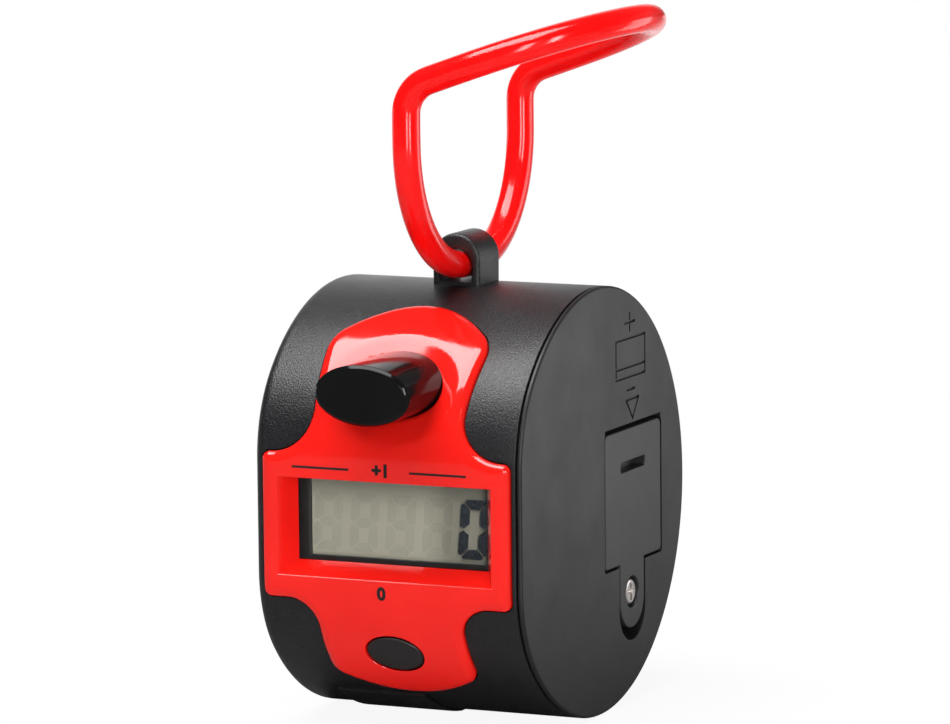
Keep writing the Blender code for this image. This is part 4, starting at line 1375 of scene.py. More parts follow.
    def build(self) -> Piece:
        """Models the plate as a flat pattern, then bends it round the drum.

        Returns:
            The finished mesh.
        """
        plate = self.outline.pattern("face_plate_skin", -self.sunk)
        rim = self.proud - self.edge_height
        thicken(plate, (0, -(self.sunk + rim), 0))
        self.round_edge(plate)
        fuse(plate, self.window_frame())
        carve(plate, self.window_cutter(), self.hole_cutter(COUNT_OPENING), self.hole_cutter(RESET_OPENING))
        slice_rows(plate, (0, 0, 1), self.rows(self.row))
        slice_rows(plate, (1, 0, 0), np.arange(*self.COLUMNS, self.column / MM) * MM)
        move_points(plate, self.sink_dish)
        move_points(plate, DRUM.wrap)
        clean(plate, 4 * SAME_PLACE)
        return hand_over(plate, FACE_RED.material(), Body.HOUSING, ["face_plate"], self.smooth)

    def pocket(self) -> Piece:
        """The cutter for the pocket that the plate sits in.

        Returns:
            The closed cutter, bent round the drum.
        """
        cutter = self.outline.pattern("pocket_cutter", -self.sunk)
        thicken(cutter, (0, -(self.sunk + 2 * OVERSHOOT), 0))
        with shaping(cutter):
            take_all()
            bpy.ops.transform.shrink_fatten(value=self.pocket_gap, use_even_offset=True)
        slice_rows(cutter, (0, 0, 1), self.rows(self.pocket_row))
        move_points(cutter, DRUM.wrap)
        with shaping(cutter):
            take_all()
            bpy.ops.mesh.quads_convert_to_tris()
        return cutter


@dataclass
class Prints:
    """What is printed on the face plate: two thin rules and two plain figures."""

    ink: float = 0.02 * MM
    weight: float = 0.085 * MM
    rule_height: float = 5.25 * MM
    rule_width: float = 0.22 * MM
    rule_corner: float = 0.05 * MM
    rules: tuple[Point, Point] = ((-9.78 * MM, -3.65 * MM), (2.9 * MM, 8.91 * MM))
    upper_text: str = "+1"
    upper_place: Point = (-0.2 * MM, 5.25 * MM)
    lower_text: str = "0"
    lower_place: Point = (-0.3 * MM, -6.9 * MM)
    size: float = 1.75 * MM
    curve_steps: int = 6
    row: float = 0.2 * MM

    ROWS: ClassVar[Point] = (-8, 7)  # millimetres

    def figure(self, name: str, text: str, middle: Point) -> Piece:
        """A printed figure as a thin mesh in the flat pattern.

        Args:
            name: the piece's name.
            text: what it says.
            middle: its middle in x and z.

        Returns:
            The flat figure with its ink's thickness.
        """
        bpy.ops.object.text_add(location=(0, 0, 0))
        piece = bpy.context.object
        piece.name = name
        letters = piece.data
        letters.body = text
        letters.size = self.size
        letters.align_x = letters.align_y = "CENTER"
        letters.extrude = self.ink / 2
        letters.offset = self.weight
        letters.resolution_u = self.curve_steps
        activate(piece)
        bpy.ops.object.convert(target="MESH")
        piece.data.transform(Matrix.Rotation(QUARTER, 4, "X"))
        piece.data.transform(Matrix.Translation((DRUM.middle + middle[0], 0, middle[1])))
        return piece

    def rule(self, left: float, right: float) -> Piece:
        """A printed rule between two distances from the plate's middle, its corners rounded.

        Args:
            left: where it starts.
            right: where it ends.

        Returns:
            The flat rule with its ink's thickness.
        """
        ink, half = self.ink / 2, self.rule_width / 2
        low = (DRUM.middle + left, -ink, self.rule_height - half)
        high = (DRUM.middle + right, ink, self.rule_height + half)
        rule = block("rule", low, high)
        bevel(rule, self.rule_corner, lambda edge: abs(edge.verts[0].co.y - edge.verts[1].co.y) > ink)
        return rule

    def build(self) -> Piece:
        """Makes the prints and lays them on the plate's outer surface.

        Returns:
            All of them as one piece.
        """
        prints = self.figure("face_prints", self.upper_text, self.upper_place)
        lower = self.figure("lower_figure", self.lower_text, self.lower_place)
        join(prints, [lower] + [self.rule(*ends) for ends in self.rules])
        lift = DRUM.reference + 0.5 * self.ink
        slice_rows(prints, (0, 0, 1), np.arange(*self.ROWS, self.row / MM) * MM)
        move_points(prints, lambda points: points - [0, lift, 0])
        move_points(prints, DRUM.wrap)
        clean(prints, HAIR)
        return hand_over(prints, PRINT_BLACK.material(), Body.HOUSING)


@dataclass
class SolePad:
    """The pad glued into the drum's underside, flat where the counter stands on it."""

    left: float = 5.1 * MM
    right: float = 14.7 * MM
    start: float = math.radians(180 + 58)
    end: float = math.radians(180 + 106)
    outer: float = 21.8 * MM
    inner: float = 21.1 * MM
    sole: float = 21.65 * MM
    edge: float = 0.12 * MM
    gap: float = 0.15 * MM
    beyond: float = 23 * MM

    SAME_TURN: ClassVar[float] = 1e-4
    BY_SIDE: ClassVar[float] = 1e-3

    def recess(self) -> Piece:
        """The cutter for the recess that the pad sits in.

        Returns:
            The closed cutter.
        """
        turn = self.gap / DRUM.radius
        outline = [
            Arc((0, 0), self.beyond, self.start - turn, self.end + turn),
            Arc((0, 0), self.inner - self.gap, self.end + turn, self.start - turn),
        ]
        low = self.left - self.gap
        return thicken(draw_face("recess", outline, Facing.END, low), (self.right + self.gap - low, 0, 0))

    def is_rim(self, edge: bmesh.types.BMEdge) -> bool:
        """Whether an edge runs round the pad's outer face.

        Args:
            edge: the edge.

        Returns:
            Whether it does.
        """
        outside = all(math.hypot(vert.co.y, vert.co.z) > self.inner + 2 * self.edge for vert in edge.verts)
        at_end = on_plane("X", self.left)(edge) or on_plane("X", self.right)(edge)
        first, second = (math.atan2(vert.co.z, vert.co.y) % (2 * math.pi) for vert in edge.verts)
        lengthwise = abs(first - second) < self.SAME_TURN
        at_side = min(abs(first - self.start), abs(first - self.end)) < self.BY_SIDE
        return outside and (at_end or (lengthwise and at_side))

    def build(self) -> Piece:
        """Models the pad.

        Returns:
            The finished mesh.
        """
        turn = math.acos(self.sole / self.outer)
        down = 3 * QUARTER
        outline = [
            Arc((0, 0), self.outer, self.start, down - turn),
            Arc((0, 0), self.outer, down + turn, self.end),
            Arc((0, 0), self.inner, self.end, self.start),
        ]
        pad = thicken(draw_face("foot_pad", outline, Facing.END, self.left), (self.right - self.left, 0, 0))
        bevel(pad, self.edge, self.is_rim)
        clean(pad, SAME_PLACE)
        return hand_over(pad, HOUSING_BLACK.material(), Body.HOUSING, ["sole_pad"])


@dataclass
class HousingShell:
    """The drum's shell with the plate's pocket, the guide sleeves, the lug and the recess for the sole pad.
    """

    end: float = 28.2 * MM
    wall: float = 1.8 * MM
    end_round: float = 1.3 * MM
    seam_round: float = 0.12 * MM
    sleeve_wall: float = 1.0 * MM
    sleeve_back: float = 12.6 * MM
    sleeve_front: float = 19.6 * MM
    sleeve_inset: float = 1.4 * MM
    bore: Point = (5 * MM, 24 * MM)
    window_low: Place = (2.9 * MM, -24 * MM, -5.6 * MM)
    window_high: Place = (25.95 * MM, -16 * MM, 5.35 * MM)
    lug_foot: float = 20.6 * MM
    lug_half: float = 2.575 * MM
    lug_depth: float = 2.55 * MM
    lug_top: float = 26.58 * MM
    lug_edge: float = 0.4 * MM
    slot_half: float = 1.7 * MM
    slot_floor: float = 21.72 * MM
    pivot_z: float = 23.33 * MM
    slot_edge: float = 0.3 * MM

    def arch(self, name: str, half: float, foot: float, centre: float, depth: float) -> Piece:
        """A solid with upright sides and an arched top, in the drum's middle.

        Args:
            name: the new piece's name.
            half: half its width, which is the arch's radius.
            foot: where its sides start.
            centre: how high the arch's centre lies.
            depth: how far it reaches to the front and to the back.

        Returns:
            The closed solid.
        """
        middle = DRUM.middle
        outline = [
            Arc((middle - half, foot)),
            Arc((middle + half, foot)),
            Arc((middle, centre), half, 0, math.pi),
        ]
        return thicken(draw_face(name, outline, Facing.FRONT, -depth), (0, 2 * depth, 0))

    def lug(self) -> Piece:
        """The lug with its arched top and the slot for the ring's wire.

        Returns:
            The closed solid.
        """
        lug = self.arch("lug", self.lug_half, self.lug_foot, self.lug_top - self.lug_half, self.lug_depth)
        front, back = on_plane("Y", -self.lug_depth), on_plane("Y", self.lug_depth)
        bevel(lug, self.lug_edge, lambda edge: front(edge) or back(edge), 4)
        carve(lug, self.arch("slot", self.slot_half, self.slot_floor, self.pivot_z, 2 * self.lug_depth))
        for side in (-1, 1):
            bevel(lug, self.slot_edge, lambda edge: self.is_slot_mouth(edge, side))
        return lug

    def is_slot_mouth(self, edge: bmesh.types.BMEdge, side: int) -> bool:
        """Whether an edge is on the rim of the slot at one face of the lug.

        Args:
            edge: the edge.
            side: -1 for the front face, 1 for the back one.

        Returns:
            Whether it is.
        """
        if not on_plane("Y", side * self.lug_depth)(edge):
            return False
        for vert in edge.verts:
            x, z = vert.co.x - DRUM.middle, vert.co.z
            reach = math.hypot(x, z - self.pivot_z) if z > self.pivot_z else abs(x)
            if abs(reach - self.slot_half) > NEAR or z < self.slot_floor + NEAR / 2:
                return False
        return True

    def build(self, plate: FacePlate, pad: SolePad) -> Piece:
        """Models the shell.

        Args:
            plate: the face plate, which gives the pocket's shape.
            pad: the sole pad, which gives its recess's shape.

        Returns:
            The finished mesh.
        """
        shell = DRUM.prism("drum_shell", 0, 0, self.end)
        bevel(shell, self.end_round, on_plane("X", 0), 8)
        bevel(shell, self.seam_round, on_plane("X", self.end), 2)
        carve(shell, DRUM.prism("cavity", -self.wall, self.wall, self.end + 2 * OVERSHOOT))
        spread = self.sleeve_wall
        for opening in (COUNT_OPENING, RESET_OPENING):
            sleeve = opening.cutter("sleeve", [(self.sleeve_back, spread), (self.sleeve_front, spread)])
            carve(sleeve, DRUM.prism("inside", -self.sleeve_inset, 0, self.end), how="INTERSECT")
            fuse(shell, sleeve)
        fuse(shell, self.lug())
        carve(shell, plate.pocket(), pad.recess())
        for opening in (COUNT_OPENING, RESET_OPENING):
            carve(shell, opening.cutter("bore", [(height, 0.0) for height in self.bore]))
        carve(shell, block("window", self.window_low, self.window_high))
        clean(shell)
        return hand_over(shell, HOUSING_BLACK.material(), Body.HOUSING, ["housing_shell"])


@dataclass
class DoorOutline:
    """The battery door with its tongue, from the battery cap's end."""

    centre: float = 8.3 * MM
    half: float = 7.15 * MM
    top: float = 6.4 * MM
    bottom: float = -7.2 * MM
    corner: float = 0.8 * MM
    tongue: float = 7.9 * MM
    tongue_half: float = 3.1 * MM
    tip: float = -14.0 * MM

    def arcs(self, grow: float = 0.0, drop: float = 0.0, root: float = 0.0) -> list[Arc]:
        """The outline's runs.

        Args:
            grow: how far it is moved outwards.
            drop: how much further down its tip reaches.
            root: radius of the inner corners beside the tongue.

        Returns:
            The runs, anticlockwise.
        """
        left, right = self.centre - self.half - grow, self.centre + self.half + grow
        top, bottom, corner = self.top + grow, self.bottom - grow, self.corner
        neck = self.tongue_half + grow
        tip = self.tip + self.tongue_half - drop
        return [
            Arc((self.tongue, tip), neck, math.pi, 2 * math.pi),
            Arc((self.tongue + neck + root, bottom - root), root, math.pi, QUARTER),
            Arc((right - corner / 2, bottom + corner / 2), corner / 2, -QUARTER, 0),
            Arc((right - corner, top - corner), corner, 0, QUARTER),
            Arc((left + corner, top - corner), corner, QUARTER, math.pi),
            Arc((left + corner / 2, bottom + corner / 2), corner / 2, math.pi, 3 * QUARTER),
            Arc((self.tongue - neck - root, bottom - root), root, QUARTER, 0),
        ]


DOOR = DoorOutline()
SCREW_PLACE = (7.9 * MM, -10.35 * MM)
SCREW_BORE = 0.95 * MM
FACE_X = 28.85 * MM
OUTSIDE = 60 * MM


@dataclass
class BatteryCap:
    """The flat cap on the right end, with the battery compartment behind it and plain moulded marks."""

    split: float = 28.4 * MM
    split_edge: float = 0.08 * MM
    rim_edge: float = 0.3 * MM
    inside: float = 26.05 * MM
    overlap: float = 0.15 * MM
    skirt: float = 2.55 * MM
    skirt_wall: float = 1.2 * MM
    inset: float = 2.1 * MM
    notch_half: float = 8 * MM
    room_low: Place = (14.85 * MM, 2.2 * MM, -5.0 * MM)
    room_high: Place = (26.05 * MM, 14.4 * MM, 4.2 * MM)
    room_wall: float = 0.9 * MM
    boss_radius: float = 2.05 * MM
    boss_end: float = 22.55 * MM
    bore_end: float = 23.35 * MM
    recess_floor: float = 26.95 * MM
    door_gap: float = 0.25 * MM
    tip_gap: float = 1.0 * MM
    head_gap: float = 0.5 * MM
    mark_width: float = 0.27 * MM
    mark_depth: float = 0.26 * MM
    mark_edge: float = 0.05 * MM
    plus: Point = (7.65 * MM, 17.1 * MM)
    plus_half: Point = (1.25 * MM, 0.85 * MM)
    sign_low: Point = (4.1 * MM, 11.6 * MM)
    sign_high: Point = (11.5 * MM, 15.5 * MM)
    sign_line: float = 12.6 * MM
    minus: Point = (7.84 * MM, 10.3 * MM)
    minus_half: float = 0.9 * MM
    pointer_left: Point = (6.6 * MM, 9.3 * MM)
    pointer_right: Point = (9.8 * MM, 9.3 * MM)
    pointer_tip: Point = (8.24 * MM, 7.3 * MM)

    def stroke(self, first: Point, second: Point) -> Piece:
        """A straight groove between two points of the cap's face.

        Args:
            first: one end, in y and z.
            second: the other end.

        Returns:
            The cutter, its inner edges bevelled.
        """
        start, end = Vector(first), Vector(second)
        middle, along = (start + end) / 2, end - start
        bpy.ops.mesh.primitive_cube_add(
            size=1,
            location=(FACE_X, middle.x, middle.y),
            rotation=(math.atan2(along.y, along.x), 0, 0),
            scale=(2 * self.mark_depth, along.length + self.mark_width, self.mark_width),
        )
        groove = settle("stroke")
        bevel(groove, self.mark_edge, on_plane("X", FACE_X - self.mark_depth), 1)
        return groove

    def strokes(self) -> list[tuple[Point, Point]]:
        """The marks: a plus, a cell's outline, a minus and a pointer to the door.

        Returns:
            Both ends of each stroke, in y and z.
        """
        (y, z), (wide, tall) = self.plus, self.plus_half
        left, low = self.sign_low
        right, high = self.sign_high
        minus_y, minus_z = self.minus
        return [
            ((y, z - tall), (y, z + tall)),
            ((y - wide, z), (y + wide, z)),
            ((left, low), (right, low)),
            ((right, low), (right, high)),
            ((right, high), (left, high)),
            ((left, high), (left, low)),
            ((left, self.sign_line), (right, self.sign_line)),
            ((minus_y - self.minus_half, minus_z), (minus_y + self.minus_half, minus_z)),
            (self.pointer_left, self.pointer_right),
            (self.pointer_right, self.pointer_tip),
            (self.pointer_tip, self.pointer_left),
        ]

    def skirt_ring(self) -> Piece:
        """The skirt that plugs into the drum, open at the front behind the display.

        Returns:
            The closed solid.
        """
        ring = DRUM.prism("plug", -self.inset, self.inside - self.skirt, self.split + self.overlap)
        hollow = DRUM.prism("hollow", -self.inset - self.skirt_wall, 0, self.inside)
        notch_low, notch_high = (0, -DRUM.radius, -self.notch_half), (self.inside, 0, self.notch_half)
        fuse(hollow, block("notch", notch_low, notch_high))
        return carve(ring, hollow)

    def door_recess(self) -> tuple[Piece, Piece]:
        """The cutters for the door's recess and the wider slit over its head.

        Returns:
            Both cutters.
        """
        outline = DOOR.arcs(self.door_gap, self.tip_gap)
        recess = draw_face("recess", outline, Facing.END, self.recess_floor)
        thicken(recess, (OUTSIDE, 0, 0))
        low = (self.recess_floor, DOOR.centre - DOOR.half, DOOR.top - OVERSHOOT)
        high = (OUTSIDE, DOOR.centre + DOOR.half, DOOR.top + self.head_gap)
        return recess, block("slit", low, high)

    def build(self) -> Piece:
        """Models the cap.

        Returns:
            The finished mesh.
        """
        cap = DRUM.prism("end_cap", 0, self.split, FACE_X)
        bevel(cap, self.rim_edge, on_plane("X", FACE_X), 5)
        bevel(cap, self.split_edge, on_plane("X", self.split), 1)
        ring = self.skirt_ring()
        low, high = Vector(self.room_low), Vector(self.room_high)
        wall, lid = Vector((self.room_wall,) * 3), self.inside + self.overlap
        box = block("compartment", low - wall, (lid, high.y + wall.y, high.z + wall.z))
        boss = rod("boss", Facing.END, SCREW_PLACE, self.boss_radius, self.boss_end, lid)
        fuse(cap, ring, box, boss)
        carve(cap, block("room", low, (OUTSIDE, high.y, high.z)))
        carve(cap, *self.door_recess())
        carve(cap, rod("bore", Facing.END, SCREW_PLACE, SCREW_BORE, self.bore_end, FACE_X))
        grooves = [self.stroke(first, second) for first, second in self.strokes()]
        carve(cap, fuse(grooves[0], *grooves[1:]))
        clean(cap)
        return hand_over(cap, CAP_BLACK.material(), Body.HOUSING, ["battery_cap"], flat=True)


@dataclass
class BatteryDoor:
    """The door with its grip slot, screw well and inner ribs."""

    thickness: float = 1.6 * MM
    edge: float = 0.14 * MM
    mouth_edge: float = 0.12 * MM
    slot_length: float = 6.2 * MM
    slot_height: float = 1.0 * MM
    slot_depth: float = 1.3 * MM
    slot_corner: float = 0.18 * MM
    slot_z: float = 2.6 * MM
    well_radius: float = 1.6 * MM
    well_depth: float = 1.0 * MM
    hole_start: float = 20 * MM
    ribs: Point = (2.5 * MM, 13.3 * MM)
    rib_width: float = 0.8 * MM
    rib_depth: float = 1.6 * MM
    rib_low: float = -2.9 * MM
    rib_high: float = 2.1 * MM
    rib_root: float = 0.5 * MM
    rib_edge: float = 0.15 * MM
    by_well: float = 0.05 * MM
    by_slot: Point = (0.2 * MM, 0.1 * MM)

    def grip_slot(self) -> Piece:
        """The cutter for the slot that a fingernail pulls the door by.

        Returns:
            The closed cutter, its corners rounded.
        """
        long, high = self.slot_length / 2, self.slot_height / 2
        low_corner = (FACE_X - self.slot_depth, DOOR.centre - long, self.slot_z - high)
        high_corner = (FACE_X + 2 * OVERSHOOT, DOOR.centre + long, self.slot_z + high)
        slot = block("slot", low_corner, high_corner)
        bevel(slot, self.slot_corner, lambda edge: abs(edge.verts[0].co.x - edge.verts[1].co.x) > OVERSHOOT)
        return slot

    def rib(self, side: float) -> Piece:
        """A rib on the door's inner face, which keeps the cell in place.

        Args:
            side: where it starts along y.

        Returns:
            The closed solid.
        """
        back = FACE_X - self.thickness
        low = (back - self.rib_depth, side, self.rib_low)
        rib = block("rib", low, (back + self.rib_root, side + self.rib_width, self.rib_high))
        bevel(rib, self.rib_edge, on_plane("X", back - self.rib_depth), 2)
        return rib

    def build(self) -> Piece:
        """Models the door.

        Returns:
            The finished mesh.
        """
        back = FACE_X - self.thickness
        door = thicken(draw_face("cell_door", DOOR.arcs(), Facing.END, back), (self.thickness, 0, 0))
        bevel(door, self.edge, on_plane("X", FACE_X))
        above = FACE_X + 2 * OVERSHOOT
        well = rod("well", Facing.END, SCREW_PLACE, self.well_radius, FACE_X - self.well_depth, above, 64)
        hole = rod("hole", Facing.END, SCREW_PLACE, SCREW_BORE, self.hole_start, above)
        carve(door, self.grip_slot(), well, hole)
        bevel(door, self.mouth_edge, self.is_mouth)
        for side in self.ribs:
            fuse(door, self.rib(side))
        clean(door)
        return hand_over(door, DOOR_BLACK.material(), Body.DOOR, ["battery_door"], flat=True)

    def is_mouth(self, edge: bmesh.types.BMEdge) -> bool:
        """Whether an edge is on the rim of the grip slot or the screw's well.

        Args:
            edge: the edge.

        Returns:
            Whether it is.
        """
        if not on_plane("X", FACE_X)(edge):
            return False
        middle = (edge.verts[0].co + edge.verts[1].co) / 2
        at_well = math.dist((middle.y, middle.z), SCREW_PLACE) < self.well_radius + self.by_well
        in_length = abs(middle.y - DOOR.centre) < self.slot_length / 2 + self.by_slot[0]
        in_height = abs(middle.z - self.slot_z) < self.slot_height / 2 + self.by_slot[1]
        return at_well or (in_length and in_height)


@dataclass
class DoorScrew:
    """The small cross-head screw, its threads included."""

    under_head: float = 28.0 * MM
    head_top: float = 28.7 * MM
    head_radius: float = 1.3 * MM
    head_round: float = 0.26 * MM
    shank_radius: float = 0.66 * MM
    shank_end: float = 23.8 * MM
    shank_round: float = 0.25 * MM
    cross_length: float = 1.7 * MM
    cross_width: float = 0.36 * MM
    cross_depth: float = 0.42 * MM
    pitch: float = 0.5 * MM
    turns: int = 7
    thread_start: float = 0.3 * MM
    root_radius: float = 0.60 * MM
    root_half: float = 0.12 * MM
    crest_radius: float = 0.74 * MM
    crest_half: float = 0.03 * MM
    thread_steps: int = 20

    def thread(self) -> Piece:
        """A helical ridge round the shank, spun up with the screw modifier.

        Returns:
            The finished mesh.
        """
        root, crest = self.root_radius, self.crest_radius
        places = (
            (0, root, -self.root_half),
            (0, root, self.root_half),
            (0, crest, self.crest_half),
            (0, crest, -self.crest_half),
        )
        bpy.ops.mesh.primitive_plane_add(size=0.1 * MM)
        ridge = bpy.context.object
        ridge.name = "screw_thread"
        with shaping(ridge) as mesh:
            for loop, place in zip(mesh.faces[:][0].loops, places):
                loop.vert.co = place
            bmesh.update_edit_mesh(ridge.data)
        turn = ridge.modifiers.new("turn", "SCREW")
        turn.axis = "Z"
        turn.screw_offset = self.pitch
        turn.iterations = self.turns
        turn.steps = turn.render_steps = self.thread_steps
        turn.use_merge_vertices = False
        activate(ridge)
        bpy.ops.object.modifier_apply(modifier="turn")
        ridge.data.transform(Matrix.Rotation(QUARTER, 4, "Y"))
        ridge.data.transform(Matrix.Translation((self.shank_end + self.thread_start, *SCREW_PLACE)))
        clean(ridge)
        return hand_over(ridge, STEEL.material(), Body.SCREW, ["door_screw"])

    def build(self) -> Piece:
        """Models the head and the shank, and adds the thread.

        Returns:
            The head with its shank.
        """
        ends = (self.under_head, self.head_top)
        head = rod("cross_head", Facing.END, SCREW_PLACE, self.head_radius, *ends, sides=64)
        bevel(head, self.head_round, on_plane("X", self.head_top), 5)
        with shaping(head):
            pick_faces(head, facing((-1, 0, 0)))
            bpy.ops.mesh.inset(thickness=self.head_radius - self.shank_radius)
            extrude((self.shank_end - self.under_head, 0, 0))
            round_off(self.shank_round, 2)
        length, width = self.cross_length / 2, self.cross_width / 2
        y, z = SCREW_PLACE
        for wide, tall in ((length, width), (width, length)):
            low = (self.head_top - self.cross_depth, y - wide, z - tall)
            carve(head, block("cross", low, (self.head_top + OVERSHOOT, y + wide, z + tall)))
        clean(head)
        self.thread()
        return hand_over(head, STEEL.material(), Body.SCREW, ["door_screw"], flat=True)


@dataclass
class Display:
    """The window's lens and the display behind it, with five places of seven segments."""

    lens_low: Place = (3.225 * MM, -17.75 * MM, -5.3 * MM)
    lens_high: Place = (25.625 * MM, -16.95 * MM, 5.05 * MM)
    lens_edge: float = 0.06 * MM
    layer: float = -15.38 * MM
    film: float = 0.02 * MM
    digit_width: float = 3.05 * MM
    digit_height: float = 5.9 * MM
    stroke: float = 0.98 * MM
    gap: float = 0.10 * MM
    corner: float = 0.55 * MM
    pitch: float = 3.95 * MM
    last_left: float = 5.82 * MM
    bottom: float = -3.74 * MM
    slant: float = math.radians(4.5)
    tip_inner: float = 0.9
    tip_across: float = 0.8
    tip_outer: float = 0.5
    shown: str = "    0"
    unlit: str = "8888 "

    SEGMENTS: ClassVar[dict[str, str]] = {" ": "", "0": "abcdef", "8": "abcdefg"}
    MIRRORED: ClassVar[dict[str, str]] = {"b": "f", "c": "e"}
    FLIPPED: ClassVar[dict[str, str]] = {"a": "d", "f": "e"}

    def lens(self) -> Piece:
        """The clear window.

        Returns:
            The finished mesh.
        """
        lens = block("clear_window", self.lens_low, self.lens_high)
        bevel(lens, self.lens_edge, lambda edge: True, 2)
        lens.visible_shadow = False
        return hand_over(lens, LENS_CLEAR.material(), Body.HOUSING, ["window_lens"], flat=True)

    def segment(self, which: str) -> list[Point]:
        """One segment in a digit's own box.

        Args:
            which: its letter, from a at the top clockwise to f, and g in the middle.

        Returns:
            Its corners, anticlockwise.
        """
        if which in self.MIRRORED:
            return [(self.digit_width - x, z) for x, z in reversed(self.segment(self.MIRRORED[which]))]
        if which in self.FLIPPED:
            return [(x, self.digit_height - z) for x, z in reversed(self.segment(self.FLIPPED[which]))]
        w, t, g, c = self.digit_width, self.stroke, self.gap, self.corner
        half, mid, cut = t / 2, self.digit_height / 2, c / 2
        shapes = {
            "d": [(c, 0), (w - c, 0), (w - cut - g, cut), (w - t - g, t), (t + g, t), (cut + g, cut)],
            "e": [(0, c), (cut, cut + g), (t, t + g), (t, mid - half * self.tip_inner - g)]
            + [(half * self.tip_across, mid - g), (0, mid - half * self.tip_outer - g)],
            "g": [(half + g, mid), (t + g, mid - half), (w - t - g, mid - half), (w - half - g, mid)]
            + [(w - t - g, mid + half), (t + g, mid + half)],
        }
        return shapes[which]

    def digits(self, name: str, text: str, finish: LiquidCrystal) -> Piece:
        """Lays out the segments of some digits as one thin piece.

        Args:
            name: the piece's name.
            text: what the five places show.
            finish: the segments' look.

        Returns:
            The piece.
        """
        parts = []
        for place, figure in enumerate(text):
            left = DRUM.middle + self.last_left - self.pitch * (len(text) - 1 - place)
            for which in self.SEGMENTS[figure]:
                corners = [
                    Arc((left + x + math.tan(self.slant) * z, self.bottom + z))
                    for x, z in self.segment(which)
                ]
                face = draw_face("segment", corners, Facing.FRONT, self.layer)
                parts.append(thicken(face, (0, self.film, 0)))
        digits = parts[0]
        digits.name = name
        join(digits, parts[1:])
        clean(digits, HAIR)
        return hand_over(digits, finish.material(), Body.HOUSING)

    def build(self) -> None:
        """Makes the lens, the lit figure and the faint unlit segments."""
        self.lens()
        self.digits("figure_shown", self.shown, SEGMENT_ON)
        self.digits("figures_unlit", self.unlit, SEGMENT_OFF).visible_shadow = False


@dataclass
class ButtonCell:
    """The button cell: a can crimped round a narrower pole below."""

    radius: float = 5.8 * MM
    height: float = 5.4 * MM
    step: float = 0.6 * MM
    pole_radius: float = 4.9 * MM
    edge: float = 0.3 * MM
    groove: float = 0.25 * MM
    groove_depth: float = 0.12 * MM

    def build(self) -> Piece:
        """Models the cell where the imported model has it.

        Returns:
            The finished mesh.
        """
        low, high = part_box("button_cell")
        middle, can = (low + high) / 2, self.height - self.step
        bpy.ops.mesh.primitive_cylinder_add(
            vertices=96, radius=self.radius, depth=can, location=(middle.x, middle.y, high.z - can / 2)
        )
        cell = settle("round_cell")
        top, seam = on_plane("Z", high.z), on_plane("Z", high.z - can)
        bevel(cell, self.edge, lambda edge: top(edge) or seam(edge), 4)
        with shaping(cell):
            pick_faces(cell, facing((0, 0, -1), 0.99))
            bpy.ops.mesh.inset(thickness=self.radius - self.edge - self.groove - self.pole_radius)
            extrude((0, 0, self.groove_depth))
            bpy.ops.mesh.inset(thickness=self.groove)
            extrude((0, 0, -self.groove_depth - self.step))
            round_off(self.edge / 2)
        clean(cell)
        return hand_over(cell, STEEL.material(), Body.HOUSING, ["button_cell"], flat=True)


